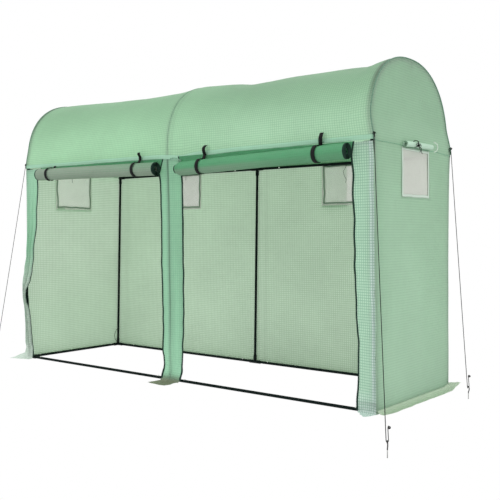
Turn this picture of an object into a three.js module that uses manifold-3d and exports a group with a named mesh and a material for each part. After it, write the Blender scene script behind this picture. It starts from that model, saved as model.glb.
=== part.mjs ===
// Walk-in garden greenhouse: a steel tube frame with an arched roof, under a sewn sheet cover.
// Millimetres, +Z up, +X along the length, the two roll-up doors face -Y, the ground is z = 0.
import * as THREE from "three";
import { mergeVertices } from "three/addons/utils/BufferGeometryUtils.js";
import Module from "manifold-3d";

const wasm = await Module();
wasm.setup();

// Driving dimensions of the house
const houseLength = 3000;
const houseWidth = 1000;
const eaveHeight = 1490;
const apexHeight = 2020;
const eaveSplay = 30;
const archLeg = 55;
const archFullness = 2.5;
const fitGap = 0.3;
const cutOverrun = 2;

// Steel tube, the pressed sockets that join it, and the spigots under the roof bows
const tubeRadius = 9.5;
const tubeWall = 1.2;
const tubeSides = 12;
const bowSides = 8;
const socketFlat = 12;
const socketLeg = 50;
const socketStop = 14;
const socketSides = 8;
const ridgeDrop = 22;
const lugThickness = 4;
const lugLength = 20;
const spigotReach = 40;

// Cover sheet, its ground skirts and the strips beside the doors
const sheet = 1.2;
const endSkirt = 60;
const narrowSkirt = 100;
const wideSkirt = 130;
const roofEdgeHeight = 1500;
const roofSag = 22;
const baySteps = 6;
const archSteps = 16;
const leftStripWidth = 130;
const middleStripWidth = 200;
const middleStripShift = 15;
const rightStripWidth = 130;

// Windows: an opening in the sheet, a net inside it and a flap outside it
const windowWidth = 380;
const windowBottom = 1210;
const windowTop = 1480;
const windowCentre = 760;
const rightWindowShift = 9;
const leftWindowShift = -25;
const netBorder = 15;
const netSheet = 1;
const netGapsAcross = 5;
const netGapsUp = 4;
const netBandShare = 0.2;
const flapWidth = 470;
const flapLength = 315;
const flapSeamHeight = 1499;
const flapRollRadius = 26;
const flapRollCore = 8;
const flapRollTurns = 3;
const flapRollHeight = 1500;
const flapRollTail = 40;
const flapRollShift = 34;

// Roll-up doors and the webbing that holds them
const leftDoorInset = 50;
const leftDoorLap = 55;
const rightDoorLap = 20;
const doorRollRadius = 48;
const doorRollCore = 18;
const doorRollTurns = 7;
const doorRollHeight = 1436;
const turnSteps = 14;
const strapWidth = 25;
const strapThickness = 1.5;
const strapTailTop = 1547;
const strapEndHeight = 1462;
const leftStrapShares = [0.133, 0.835];
const rightStrapShares = [0.196, 0.853];

// Guy ropes and ground pegs
const cordSides = 8;
const ropeRadius = 2;
const ropeHeight = 1540;
const ropeTuck = 22;
const ropeReturn = 60;
const bendSteps = 6;
const pegRadius = 2.5;
const pegPin = 42;
const pegEye = 14;
const eyeStart = -Math.PI / 4;
const eyeSteps = 8;
const frontRightPeg = [1917, -1226];
const rearRightPeg = [1720, 255];
const frontLeftPeg = [-1612, -737];

// Values that follow from those above
const halfLength = houseLength / 2;
const halfWidth = houseWidth / 2;
const sheetSeat = socketFlat + fitGap;
const frameX = halfLength - sheet - sheetSeat;
const baseY = halfWidth - sheet - sheetSeat;
const baseZ = socketFlat;
const eaveY = baseY + eaveSplay;
const legTop = eaveHeight + archLeg;
const ridgeHeight = apexHeight - ridgeDrop;
const facing = Math.cos(Math.PI / socketSides);
const socketRadius = socketFlat / facing;
const boreRadius = (tubeRadius + fitGap) / facing;
const tubeBore = tubeRadius - tubeWall;
const spigotRadius = tubeBore * Math.cos(Math.PI / tubeSides) - fitGap;
const innerHalfLength = halfLength - sheet - fitGap;
const eyeHeight = pegPin + pegEye * Math.SQRT2;
const middleStripStart = middleStripShift - middleStripWidth / 2;
const middleStripEnd = middleStripStart + middleStripWidth;
const leftDoorStart = -halfLength + leftStripWidth + leftDoorInset;
const rightDoorStart = middleStripEnd - rightDoorLap;
const doorWidth = middleStripStart + leftDoorLap - leftDoorStart;

const steel = new THREE.MeshStandardMaterial({ color: 0x101b16, roughness: 0.4, metalness: 0.6 });
const socketSteel = new THREE.MeshStandardMaterial({ color: 0x16211c, roughness: 0.5, metalness: 0.5 });
const cloth = new THREE.MeshStandardMaterial({ color: 0x9cc8a4, roughness: 0.5, metalness: 0 });
const doorCloth = new THREE.MeshStandardMaterial({ color: 0x7fae8f, roughness: 0.5, metalness: 0 });
const net = new THREE.MeshStandardMaterial({ color: 0xb4b0a6, roughness: 0.8, metalness: 0 });
const webbing = new THREE.MeshStandardMaterial({ color: 0x17191a, roughness: 0.8, metalness: 0 });
const cord = new THREE.MeshStandardMaterial({ color: 0x2c2c2e, roughness: 0.9, metalness: 0 });
const pegSteel = new THREE.MeshStandardMaterial({ color: 0x55585a, roughness: 0.4, metalness: 0.7 });

const greenhouse = new THREE.Group();

function addPiece(name, geometry, material, parent = greenhouse) {
  const mesh = new THREE.Mesh(geometry, material.clone());
  mesh.name = name;
  parent.add(mesh);
  return mesh;
}

// Geometry and solids

function polygon(radius, sides) {
  const shape = new THREE.Shape();
  for (let k = 0; k < sides; k += 1) {
    const angle = ((k + 0.5) / sides) * Math.PI * 2;
    const x = radius * Math.cos(angle);
    const y = radius * Math.sin(angle);
    if (k === 0) shape.moveTo(x, y);
    else shape.lineTo(x, y);
  }
  shape.closePath();
  return shape;
}

function ring(outer, inner, sides) {
  const shape = polygon(outer, sides);
  shape.holes.push(polygon(inner, sides));
  return shape;
}

function outline(points) {
  const shape = new THREE.Shape();
  shape.setFromPoints(points.map(([x, y]) => new THREE.Vector2(x, y)));
  shape.closePath();
  return shape;
}

function extrude(shape, depth) {
  return new THREE.ExtrudeGeometry(shape, { depth, bevelEnabled: false });
}

// A path of straight runs that an extrusion follows with one ring of points at every corner.
class Polyline extends THREE.Curve {
  constructor(points) {
    super();
    this.points = points;
  }

  getPoint(share, target = new THREE.Vector3()) {
    const place = share * (this.points.length - 1);
    const k = Math.min(Math.floor(place), this.points.length - 2);
    return target.copy(this.points[k]).lerp(this.points[k + 1], place - k);
  }

  getPointAt(share, target) {
    return this.getPoint(share, target);
  }

  getTangent(share, target = new THREE.Vector3()) {
    const last = this.points.length - 1;
    const k = Math.round(share * last);
    const before = this.points[Math.max(k - 1, 0)];
    const here = this.points[k];
    const after = this.points[Math.min(k + 1, last)];
    const arriving = here.clone().sub(before).normalize();
    return target.copy(after).sub(here).normalize().add(arriving).normalize();
  }

  getTangentAt(share, target) {
    return this.getTangent(share, target);
  }
}

function sweep(shape, points) {
  const path = new Polyline(points);
  return new THREE.ExtrudeGeometry(shape, { extrudePath: path, steps: points.length - 1, bevelEnabled: false });
}

function box(low, high) {
  const size = high.map((value, k) => value - low[k]);
  const geometry = new THREE.BoxGeometry(...size);
  geometry.translate(low[0] + size[0] / 2, low[1] + size[1] / 2, low[2] + size[2] / 2);
  return geometry;
}

// A shape drawn in the Y-Z plane and extruded along X from one place to the other.
function extrudeAlongX(shape, fromX, toX) {
  const geometry = extrude(shape, toX - fromX);
  geometry.applyMatrix4(new THREE.Matrix4().set(0, 0, 1, fromX, 1, 0, 0, 0, 0, 1, 0, 0, 0, 0, 0, 1));
  return geometry;
}

function along(shape, direction, start, length) {
  const geometry = extrude(shape, length);
  geometry.translate(0, 0, start);
  geometry.applyQuaternion(new THREE.Quaternion().setFromUnitVectors(new THREE.Vector3(0, 0, 1), direction));
  return geometry;
}

function toSolid(geometry) {
  const bare = new THREE.BufferGeometry();
  bare.setAttribute("position", geometry.getAttribute("position"));
  if (geometry.index) bare.setIndex(geometry.index);
  const merged = mergeVertices(bare, 1e-4);
  return new wasm.Manifold(
    new wasm.Mesh({
      numProp: 3,
      vertProperties: new Float32Array(merged.attributes.position.array),
      triVerts: new Uint32Array(merged.index.array),
    }),
  );
}

function fromSolid(solid) {
  const mesh = solid.getMesh();
  const geometry = new THREE.BufferGeometry();
  geometry.setAttribute("position", new THREE.BufferAttribute(new Float32Array(mesh.vertProperties), 3));
  geometry.setIndex(new THREE.BufferAttribute(new Uint32Array(mesh.triVerts), 1));
  const flat = geometry.toNonIndexed();
  flat.computeVertexNormals();
  return flat;
}

function join(geometries, cuts = []) {
  let solid = geometries.map(toSolid).reduce((sum, next) => sum.add(next));
  for (const cut of cuts) solid = solid.subtract(toSolid(cut));
  return fromSolid(solid);
}

// A ribbon of even thickness that follows a line of points in its own plane.
function ribbon(points, thickness) {
  const left = [];
  const right = [];
  points.forEach((point, k) => {
    const before = points[Math.max(k - 1, 0)];
    const after = points[Math.min(k + 1, points.length - 1)];
    const run = Math.hypot(after[0] - before[0], after[1] - before[1]);
    const normal = [-(after[1] - before[1]) / run, (after[0] - before[0]) / run];
    left.push([point[0] + (normal[0] * thickness) / 2, point[1] + (normal[1] * thickness) / 2]);
    right.unshift([point[0] - (normal[0] * thickness) / 2, point[1] - (normal[1] * thickness) / 2]);
  });
  return outline([...left, ...right]);
}

// A closed shell between an outer and an inner grid of points, row by row.
function shell(outer, inner) {
  const rows = outer.length;
  const columns = outer[0].length;
  const points = [...outer.flat(), ...inner.flat()];
  const at = (side, r, c) => side * rows * columns + r * columns + c;
  const faces = [];
  const quad = (a, b, c, d) => faces.push(a, b, c, a, c, d);
  for (let r = 0; r + 1 < rows; r += 1) {
    for (let c = 0; c + 1 < columns; c += 1) {
      quad(at(0, r, c), at(0, r + 1, c), at(0, r + 1, c + 1), at(0, r, c + 1));
      quad(at(1, r, c), at(1, r, c + 1), at(1, r + 1, c + 1), at(1, r + 1, c));
    }
    quad(at(0, r, 0), at(1, r, 0), at(1, r + 1, 0), at(0, r + 1, 0));
    quad(at(0, r, columns - 1), at(0, r + 1, columns - 1), at(1, r + 1, columns - 1), at(1, r, columns - 1));
  }
  for (let c = 0; c + 1 < columns; c += 1) {
    quad(at(0, 0, c), at(0, 0, c + 1), at(1, 0, c + 1), at(1, 0, c));
    quad(at(0, rows - 1, c), at(1, rows - 1, c), at(1, rows - 1, c + 1), at(0, rows - 1, c + 1));
  }
  const geometry = new THREE.BufferGeometry();
  geometry.setAttribute("position", new THREE.Float32BufferAttribute(points.flat(), 3));
  geometry.setIndex(faces);
  const flat = geometry.toNonIndexed();
  flat.computeVertexNormals();
  return flat;
}

// Frame

function wallY(z) {
  return halfWidth + (eaveSplay * (z - baseZ)) / (eaveHeight - baseZ);
}

// One quarter turn of the arch, from the top of its straight leg to the apex, as shares of its two reaches.
function archShares(steps) {
  const shares = [];
  for (let k = 0; k <= steps; k += 1) {
    const angle = (k / steps) * (Math.PI / 2);
    shares.push([Math.cos(angle) ** (2 / archFullness), Math.sin(angle) ** (2 / archFullness)]);
  }
  return shares;
}

// The arch from front to rear at some distance outside the bow's centre line, with its crown let down.
function archLine(startZ, outside, crownDrop = 0) {
  const reach = eaveY + outside;
  const rise = apexHeight + outside - legTop - crownDrop;
  const rear = [[reach, startZ]];
  for (const [across, up] of archShares(archSteps / 2)) rear.push([reach * across, legTop + rise * up]);
  rear[rear.length - 1] = [0, legTop + rise];
  const front = rear.slice(0, -1).map(([y, z]) => [-y, z]);
  return [...front, ...rear.reverse()];
}

function tubeBetween(name, from, to) {
  const length = from.distanceTo(to);
  const piece = addPiece(name, extrude(ring(tubeRadius, tubeBore, tubeSides), length), steel);
  piece.position.copy(from);
  const direction = to.clone().sub(from).normalize();
  piece.quaternion.setFromUnitVectors(new THREE.Vector3(0, 0, 1), direction);
}

// A tube that ends inside the sockets of the two joints that it runs between.
function tubeInSockets(name, fromJoint, toJoint) {
  const step = toJoint.clone().sub(fromJoint).normalize().multiplyScalar(socketStop);
  tubeBetween(name, fromJoint.clone().add(step), toJoint.clone().sub(step));
}

// A pressed joint: one hollow leg for each tube that it takes, closed at the middle.
function connector(name, joint, directions) {
  const legs = directions.map((direction) => {
    const back = direction.z === 0 ? socketFlat : 0;
    return along(polygon(socketRadius, socketSides), direction, -back, back + socketLeg);
  });
  const bores = directions.map((direction) =>
    along(polygon(boreRadius, socketSides), direction, socketStop - fitGap, socketLeg + cutOverrun),
  );
  addPiece(name, join(legs, bores), socketSteel).position.copy(joint);
}

function bow(name, x, spigotSides) {
  const points = archLine(eaveHeight + socketStop, 0).map(([y, z]) => new THREE.Vector3(0, y, z));
  const pieces = [sweep(ring(tubeRadius, tubeBore, bowSides), points)];
  const lugTop = apexHeight - (tubeRadius + tubeBore) / 2;
  const lugBottom = ridgeHeight - spigotRadius;
  pieces.push(box([-lugThickness / 2, -lugLength / 2, lugBottom], [lugThickness / 2, lugLength / 2, lugTop]));
  for (const side of spigotSides) {
    const spigot = along(polygon(spigotRadius, tubeSides), new THREE.Vector3(side, 0, 0), 0, spigotReach);
    spigot.translate(0, 0, ridgeHeight);
    pieces.push(spigot);
  }
  addPiece(name, join(pieces), steel).position.x = x;
}

function buildFrame() {
  const ends = [
    { name: "left", x: -frameX },
    { name: "middle", x: 0 },
    { name: "right", x: frameX },
  ];
  const rows = [
    { name: "front", side: -1 },
    { name: "rear", side: 1 },
  ];
  for (const row of rows) {
    const base = ends.map((end) => new THREE.Vector3(end.x, row.side * baseY, baseZ));
    const eave = ends.map((end) => new THREE.Vector3(end.x, row.side * eaveY, eaveHeight));
    ends.forEach((end, k) => {
      const up = eave[k].clone().sub(base[k]).normalize();
      const lengthwise = [];
      if (k > 0) lengthwise.push(new THREE.Vector3(-1, 0, 0));
      if (k < ends.length - 1) lengthwise.push(new THREE.Vector3(1, 0, 0));
      const inward = end.x === 0 ? [] : [new THREE.Vector3(0, -row.side, 0)];
      connector(`base_connector_${row.name}_${end.name}`, base[k], [up, ...lengthwise, ...inward]);
      const eaveLegs = [up.clone().negate(), new THREE.Vector3(0, 0, 1), ...lengthwise];
      connector(`eave_connector_${row.name}_${end.name}`, eave[k], eaveLegs);
      tubeInSockets(`post_${row.name}_${end.name}`, base[k], eave[k]);
    });
    for (const [k, half] of ["left", "right"].entries()) {
      tubeInSockets(`base_rail_${row.name}_${half}`, base[k], base[k + 1]);
      tubeInSockets(`eave_rail_${row.name}_${half}`, eave[k], eave[k + 1]);
    }
  }
  for (const end of [ends[0], ends[2]]) {
    const front = new THREE.Vector3(end.x, -baseY, baseZ);
    tubeInSockets(`base_rail_${end.name}_end`, front, new THREE.Vector3(end.x, baseY, baseZ));
  }
  bow("bow_left", -frameX, [1]);
  bow("bow_middle", 0, [-1, 1]);
  bow("bow_right", frameX, [-1]);
  const railGap = lugThickness / 2 + fitGap;
  const ridge = [-frameX + railGap, -railGap, railGap, frameX - railGap];
  const ridgeEnds = ridge.map((x) => new THREE.Vector3(x, 0, ridgeHeight));
  tubeBetween("ridge_rail_left", ridgeEnds[0], ridgeEnds[1]);
  tubeBetween("ridge_rail_right", ridgeEnds[2], ridgeEnds[3]);
}

// Cover

function roof() {
  const outer = [];
  const inner = [];
  const bays = 2;
  const steps = bays * baySteps;
  for (let k = 0; k <= steps; k += 1) {
    const x = -innerHalfLength + (2 * innerHalfLength * k) / steps;
    const drop = roofSag * Math.sin((Math.PI * k) / baySteps) ** 2;
    outer.push(archLine(roofEdgeHeight, sheetSeat + sheet, drop).map(([y, z]) => [x, y, z]));
    inner.push(archLine(roofEdgeHeight, sheetSeat, drop).map(([y, z]) => [x, y, z]));
  }
  addPiece("cover_roof", shell(outer, inner), cloth);
}

// A long wall or strip in section, front or rear: upright sheet with its skirt turned out on the ground.
function wallSection(side, skirt) {
  const top = roofEdgeHeight - fitGap;
  const foot = halfWidth + skirt;
  const section = [
    [foot, 0],
    [foot, sheet],
    [wallY(sheet), sheet],
    [wallY(top), top],
    [wallY(top) - sheet, top],
    [wallY(0) - sheet, 0],
  ];
  return outline(section.map(([y, z]) => [side * y, z]));
}

function windowCut(centreX, outsideY) {
  const low = [centreX - windowWidth / 2, outsideY - eaveSplay - sheet - cutOverrun, windowBottom];
  const high = [centreX + windowWidth / 2, outsideY + cutOverrun, windowTop];
  return box(low, high);
}

function rearWall() {
  const wall = extrudeAlongX(wallSection(1, wideSkirt), -innerHalfLength, innerHalfLength);
  const outside = halfWidth + eaveSplay;
  const cuts = [-windowCentre, windowCentre].map((x) => windowCut(x, outside));
  addPiece("cover_rear_wall", join([wall], cuts), cloth);
}

function endWall(name, side, windowShift) {
  const line = archLine(roofEdgeHeight, sheetSeat + sheet);
  const section = [[-wallY(0), 0], ...line, [wallY(0), 0]];
  const panel = extrudeAlongX(outline(section), halfLength - sheet, halfLength);
  const skirt = box([halfLength - sheet, -halfWidth, 0], [halfLength + endSkirt, halfWidth, sheet]);
  const middle = side * windowShift;
  const low = [halfLength - sheet - cutOverrun, middle - windowWidth / 2, windowBottom];
  const cut = box(low, [halfLength + cutOverrun, middle + windowWidth / 2, windowTop]);
  const piece = addPiece(name, join([panel, skirt], [cut]), cloth);
  if (side < 0) piece.rotation.z = Math.PI;
}

function frontStrip(name, fromX, toX, skirt) {
  addPiece(name, extrudeAlongX(wallSection(-1, skirt), fromX, toX), cloth);
}

function buildCover() {
  roof();
  rearWall();
  endWall("cover_left_end", -1, leftWindowShift);
  endWall("cover_right_end", 1, rightWindowShift);
  frontStrip("cover_front_left_strip", -innerHalfLength, -halfLength + leftStripWidth, narrowSkirt);
  frontStrip("cover_front_middle_strip", middleStripStart, middleStripEnd, wideSkirt);
  frontStrip("cover_front_right_strip", halfLength - rightStripWidth, innerHalfLength, narrowSkirt);
}

// Windows, drawn as seen from outside a wall that faces -Y, with that wall's outside at y = 0

function wallFrame(turn, x, y, lean = 0) {
  const frame = new THREE.Group();
  frame.rotation.z = turn;
  frame.position.set(x, y, 0);
  const plane = new THREE.Group();
  plane.rotation.x = lean;
  frame.add(plane);
  greenhouse.add(frame);
  return plane;
}

function windowNet(name, frame, centreX) {
  const width = windowWidth + 2 * netBorder;
  const height = windowTop - windowBottom + 2 * netBorder;
  const pitchX = windowWidth / netGapsAcross;
  const pitchZ = (windowTop - windowBottom) / netGapsUp;
  const band = pitchZ * netBandShare;
  const gaps = [];
  for (let i = 0; i < netGapsAcross; i += 1) {
    for (let k = 0; k < netGapsUp; k += 1) {
      const low = [netBorder + i * pitchX + band / 2, -cutOverrun, netBorder + k * pitchZ + band / 2];
      const high = [low[0] + pitchX - band, netSheet + cutOverrun, low[2] + pitchZ - band];
      gaps.push(box(low, high));
    }
  }
  const piece = addPiece(name, join([box([0, 0, 0], [width, netSheet, height])], gaps), net, frame);
  piece.position.set(centreX - width / 2, sheet + fitGap, windowBottom - netBorder);
}

function hangingFlap(name, frame, centreX, clear) {
  const low = [centreX - flapWidth / 2, -clear - sheet, flapSeamHeight - flapLength];
  addPiece(name, box(low, [centreX + flapWidth / 2, -clear, flapSeamHeight]), cloth, frame);
}

// A sheet wound into a roll in front of a wall, and the short tail that runs up to its seam.
// The points are in the plane across the roll, with the wall's side at the right.
function rollLine(roll) {
  const outer = roll.radius - sheet / 2;
  const points = [[outer, roll.tail]];
  const count = roll.turns * turnSteps;
  for (let k = 0; k <= count; k += 1) {
    const angle = (-k / turnSteps) * Math.PI * 2;
    const radius = outer + ((roll.core - outer) * k) / count;
    points.push([radius * Math.cos(angle), radius * Math.sin(angle)]);
  }
  return points;
}

function distanceToSegment(point, from, to) {
  const run = [to[0] - from[0], to[1] - from[1]];
  const share = ((point[0] - from[0]) * run[0] + (point[1] - from[1]) * run[1]) / (run[0] ** 2 + run[1] ** 2);
  const kept = Math.min(Math.max(share, 0), 1);
  return Math.hypot(point[0] - from[0] - kept * run[0], point[1] - from[1] - kept * run[1]);
}

function leastTurnGap(points) {
  let least = Infinity;
  for (let i = 0; i < points.length; i += 1) {
    for (let k = i + turnSteps / 2; k + 1 < points.length; k += 1) {
      least = Math.min(least, distanceToSegment(points[i], points[k], points[k + 1]));
    }
  }
  return least - sheet;
}

function rolledSheet(name, roll, material, frame) {
  const line = rollLine(roll);
  console.log(`${name}: least gap between turns ${leastTurnGap(line).toFixed(2)} mm`);
  const geometry = extrudeAlongX(ribbon(line, sheet), 0, roll.width);
  const piece = addPiece(name, geometry, material, frame);
  piece.position.set(roll.fromX, -roll.clear - roll.radius, roll.height);
}

function rolledFlap(name, frame, centreX, clear) {
  const roll = {
    radius: flapRollRadius,
    core: flapRollCore,
    turns: flapRollTurns,
    tail: flapRollTail,
    width: flapWidth,
    fromX: centreX - flapWidth / 2,
    height: flapRollHeight,
    clear,
  };
  rolledSheet(name, roll, cloth, frame);
}

function buildWindows() {
  const lean = Math.atan2(eaveSplay, eaveHeight - baseZ);
  const rightEnd = wallFrame(Math.PI / 2, halfLength, 0);
  const leftEnd = wallFrame(-Math.PI / 2, -halfLength, 0);
  const rear = wallFrame(Math.PI, 0, wallY(0), lean);
  const rearUpright = wallFrame(Math.PI, 0, halfWidth + eaveSplay);
  windowNet("window_net_right_end", rightEnd, rightWindowShift);
  windowNet("window_net_left_end", leftEnd, -leftWindowShift);
  windowNet("window_net_rear_left", rear, windowCentre);
  windowNet("window_net_rear_right", rear, -windowCentre);
  rolledFlap("window_flap_right_end", rightEnd, rightWindowShift + flapRollShift, fitGap);
  hangingFlap("window_flap_left_end", leftEnd, -leftWindowShift, fitGap);
  rolledFlap("window_flap_rear_left", rearUpright, windowCentre, 2 * fitGap);
  hangingFlap("window_flap_rear_right", rearUpright, -windowCentre, 2 * fitGap);
}

// Doors

const doorSeatY = wallY(roofEdgeHeight) + fitGap;
const doorRollY = -doorSeatY - doorRollRadius;

// The webbing starts above the roof's edge, goes over the roll, under it and up behind it.
function strap(name, centreX) {
  const loop = doorRollRadius + fitGap + strapThickness / 2;
  const tailY = doorRollRadius - 2 * fitGap - strapThickness / 2;
  const tailZ = roofEdgeHeight + strapThickness - doorRollHeight;
  const reach = Math.hypot(tailY, tailZ);
  const first = Math.atan2(tailZ, tailY) + Math.acos(loop / reach);
  const line = [
    [tailY, strapTailTop - doorRollHeight],
    [tailY, tailZ],
  ];
  const steps = turnSteps;
  for (let k = 0; k <= steps; k += 1) {
    const angle = first + ((2 * Math.PI - first) * k) / steps;
    line.push([loop * Math.cos(angle), loop * Math.sin(angle)]);
  }
  line.push([loop, strapEndHeight - doorRollHeight]);
  const geometry = extrudeAlongX(ribbon(line, strapThickness), 0, strapWidth);
  const piece = addPiece(name, geometry, webbing);
  piece.position.set(centreX - strapWidth / 2, doorRollY, doorRollHeight);
}

function door(name, startX, strapShares) {
  const roll = {
    radius: doorRollRadius,
    core: doorRollCore,
    turns: doorRollTurns,
    tail: roofEdgeHeight - fitGap - doorRollHeight,
    width: doorWidth,
    fromX: startX,
    height: doorRollHeight,
    clear: doorSeatY,
  };
  rolledSheet(`door_${name}`, roll, doorCloth, greenhouse);
  strap(`door_strap_${name}_a`, startX + strapShares[0] * doorWidth);
  strap(`door_strap_${name}_b`, startX + strapShares[1] * doorWidth);
}

// Guy ropes and pegs

// The peg's pin stands with its tip on the ground and ends in an open eye, in the plane of its rope.
function peg(name, foot, turn) {
  const line = [new THREE.Vector3(0, 0, 0), new THREE.Vector3(0, 0, pegPin)];
  for (let k = 0; k <= eyeSteps; k += 1) {
    const angle = eyeStart + ((Math.PI - eyeStart) * k) / eyeSteps;
    line.push(new THREE.Vector3(pegEye * Math.cos(angle), 0, eyeHeight + pegEye * Math.sin(angle)));
  }
  const piece = addPiece(name, sweep(polygon(pegRadius, cordSides), line), pegSteel);
  piece.position.copy(foot);
  piece.rotation.z = turn;
}

// A rope from the cover's corner to a peg: it goes down to the eye, round its wire and a little way back up.
function guyRope(name, endSide, rowSide, footX, footY) {
  const outX = endSide * (halfLength + ropeRadius + 2 * fitGap);
  const cornerY = halfWidth + eaveSplay;
  const tied = new THREE.Vector3(outX, rowSide * (cornerY - ropeTuck), ropeHeight);
  const corner = new THREE.Vector3(outX, rowSide * (cornerY + ropeRadius + 2 * fitGap), ropeHeight);
  const foot = new THREE.Vector3(footX, footY, 0);
  const eye = new THREE.Vector3(footX, footY, eyeHeight);
  const up = corner.clone().sub(eye).normalize();
  const wire = eye.clone().addScaledVector(up, pegEye);
  const across = new THREE.Vector3(-up.y, up.x, 0).normalize();
  const bend = pegRadius + ropeRadius + 2 * fitGap;
  const points = [tied, corner];
  for (let k = 0; k <= bendSteps; k += 1) {
    const angle = (Math.PI * k) / bendSteps;
    const point = wire.clone().addScaledVector(across, bend * Math.cos(angle));
    points.push(point.addScaledVector(up, -bend * Math.sin(angle)));
  }
  points.push(points.at(-1).clone().addScaledVector(up, ropeReturn));
  addPiece(`guy_rope_${name}`, sweep(polygon(ropeRadius, cordSides), points), cord);
  peg(`ground_peg_${name}`, foot, Math.atan2(-up.y, -up.x));
}

buildFrame();
buildCover();
buildWindows();
door("left", leftDoorStart, leftStrapShares);
door("right", rightDoorStart, rightStrapShares);
guyRope("front_right", 1, -1, ...frontRightPeg);
guyRope("rear_right", 1, 1, ...rearRightPeg);
guyRope("front_left", -1, -1, ...frontLeftPeg);

export default greenhouse;
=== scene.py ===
import math

import bmesh
import bpy
from mathutils import Matrix, Vector, noise


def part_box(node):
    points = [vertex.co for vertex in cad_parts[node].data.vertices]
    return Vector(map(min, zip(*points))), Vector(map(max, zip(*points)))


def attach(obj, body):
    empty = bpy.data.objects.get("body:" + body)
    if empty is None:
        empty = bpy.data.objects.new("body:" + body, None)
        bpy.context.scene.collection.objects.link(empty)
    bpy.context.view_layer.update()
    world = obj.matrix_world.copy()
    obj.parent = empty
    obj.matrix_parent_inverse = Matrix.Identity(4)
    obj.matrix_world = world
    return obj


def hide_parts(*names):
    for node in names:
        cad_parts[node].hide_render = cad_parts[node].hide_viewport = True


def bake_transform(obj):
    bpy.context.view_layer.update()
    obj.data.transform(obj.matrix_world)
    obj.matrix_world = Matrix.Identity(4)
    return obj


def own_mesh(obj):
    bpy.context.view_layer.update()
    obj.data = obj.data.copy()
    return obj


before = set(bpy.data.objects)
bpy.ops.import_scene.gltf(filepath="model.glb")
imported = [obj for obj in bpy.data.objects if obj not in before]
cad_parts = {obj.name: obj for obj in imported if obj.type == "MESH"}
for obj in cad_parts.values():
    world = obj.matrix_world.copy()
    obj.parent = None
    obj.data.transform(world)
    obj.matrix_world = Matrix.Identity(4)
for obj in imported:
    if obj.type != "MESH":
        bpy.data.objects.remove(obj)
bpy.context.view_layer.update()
print("greenhouse frame loaded")


# Camera, light and floor

camera = {
    "place": (3.4855, -4.4633, 0.9892),
    "turn": 41.362,
    "lens": 56.48,
    "sensor": 36.0,
    "shift": (0.1606, -0.0317),
    "farthest": 200.0,
}
studio = {
    "world": {"Color": (1, 1, 1, 1), "Strength": 1.0},
    "floorSize": 60.0,
    "floorPaint": {
        "Base Color": (0, 0, 0, 1),
        "Specular IOR Level": 0.0,
        "Emission Color": (1, 1, 1, 1),
        "Emission Strength": 1.0,
    },
    "aim": Vector((0.0, 0.0, 1.0)),
    "softboxes": {
        "frontSoftbox": {"place": Vector((-3.0, -6.0, 5.0)), "size": 5.0, "power": 90.0},
        "rightSoftbox": {"place": Vector((7.0, -2.0, 4.0)), "size": 4.0, "power": 60.0},
        "topSoftbox": {"place": Vector((0.0, 1.0, 7.0)), "size": 5.0, "power": 80.0},
    },
}


def addObject(name, data):
    thing = bpy.data.objects.new(name, data)
    bpy.context.scene.collection.objects.link(thing)
    return thing


def makeCamera():
    data = bpy.data.cameras.new("photoCamera")
    data.sensor_width = camera["sensor"]
    data.lens = camera["lens"]
    data.shift_x, data.shift_y = camera["shift"]
    data.clip_end = camera["farthest"]
    eye = addObject("photoCamera", data)
    eye.location = camera["place"]
    eye.rotation_euler = (math.pi / 2, 0, math.radians(camera["turn"]))
    bpy.context.scene.camera = eye


def makeStudio():
    world = bpy.data.worlds.new("studioWorld")
    world.use_nodes = True
    for label, value in studio["world"].items():
        world.node_tree.nodes["Background"].inputs[label].default_value = value
    bpy.context.scene.world = world
    bpy.context.scene.view_settings.view_transform = "Standard"
    for name, softbox in studio["softboxes"].items():
        data = bpy.data.lights.new(name, "AREA")
        data.size = softbox["size"]
        data.energy = softbox["power"]
        lamp = addObject(name, data)
        lamp.location = softbox["place"]
        lamp.rotation_euler = (studio["aim"] - softbox["place"]).to_track_quat("-Z", "Y").to_euler()
    bm = bmesh.new()
    bmesh.ops.create_grid(bm, x_segments=1, y_segments=1, size=studio["floorSize"] / 2)
    mesh = bpy.data.meshes.new("paleFloor")
    bm.to_mesh(mesh)
    bm.free()
    paint = bpy.data.materials.new("paleFloor")
    paint.use_nodes = True
    for label, value in studio["floorPaint"].items():
        paint.node_tree.nodes["Principled BSDF"].inputs[label].default_value = value
    mesh.materials.append(paint)
    addObject("paleFloor", mesh)


makeCamera()
makeStudio()
print("camera and studio set")


# Shader effects shared by several materials

sheetWeave = {
    "tapesPerCell": 6,
    "broad": (2.2, 2.0),
    "fine": (18.0, 4.0),
    "crease": (6.0, 4.0, 0.6, (1.0, 2.6, 1.0)),
    "foldReach": 0.05,
    "broadTone": (0.95, 1.04),
    "fineTone": (-0.02, 0.02),
    "roughness": (0.36, 0.52),
    "heights": (0.35, 0.08, 2.2, 0.5),
}
webbingWeave = {"chevron": 3.0, "worn": (60.0, 3.0), "ribLightAndShade": (0.75, 1.25), "wornTone": (0.85, 1.3)}
steelCoat = {
    "speckle": (260.0, 2.0),
    "patches": (14.0, 4.0),
    "scuffs": (90.0, 5.0, 0.7),
    "dusty": (0.45, 0.7),
    "roughness": (0.3, 0.5),
}
cloudRange = (0.3, 0.7)


def feed(tree, value, socket):
    # a socket is linked, a number or a colour is set, and nothing keeps the default
    if isinstance(value, bpy.types.NodeSocket):
        tree.links.new(value, socket)
    elif value is not None:
        socket.default_value = value


def addNode(tree, kind, inputs, output=0, **settings):
    node = tree.nodes.new("ShaderNode" + kind)
    for label, value in settings.items():
        setattr(node, label, value)
    for label, value in inputs.items():
        feed(tree, value, node.inputs[label])
    return node.outputs[output]


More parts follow.
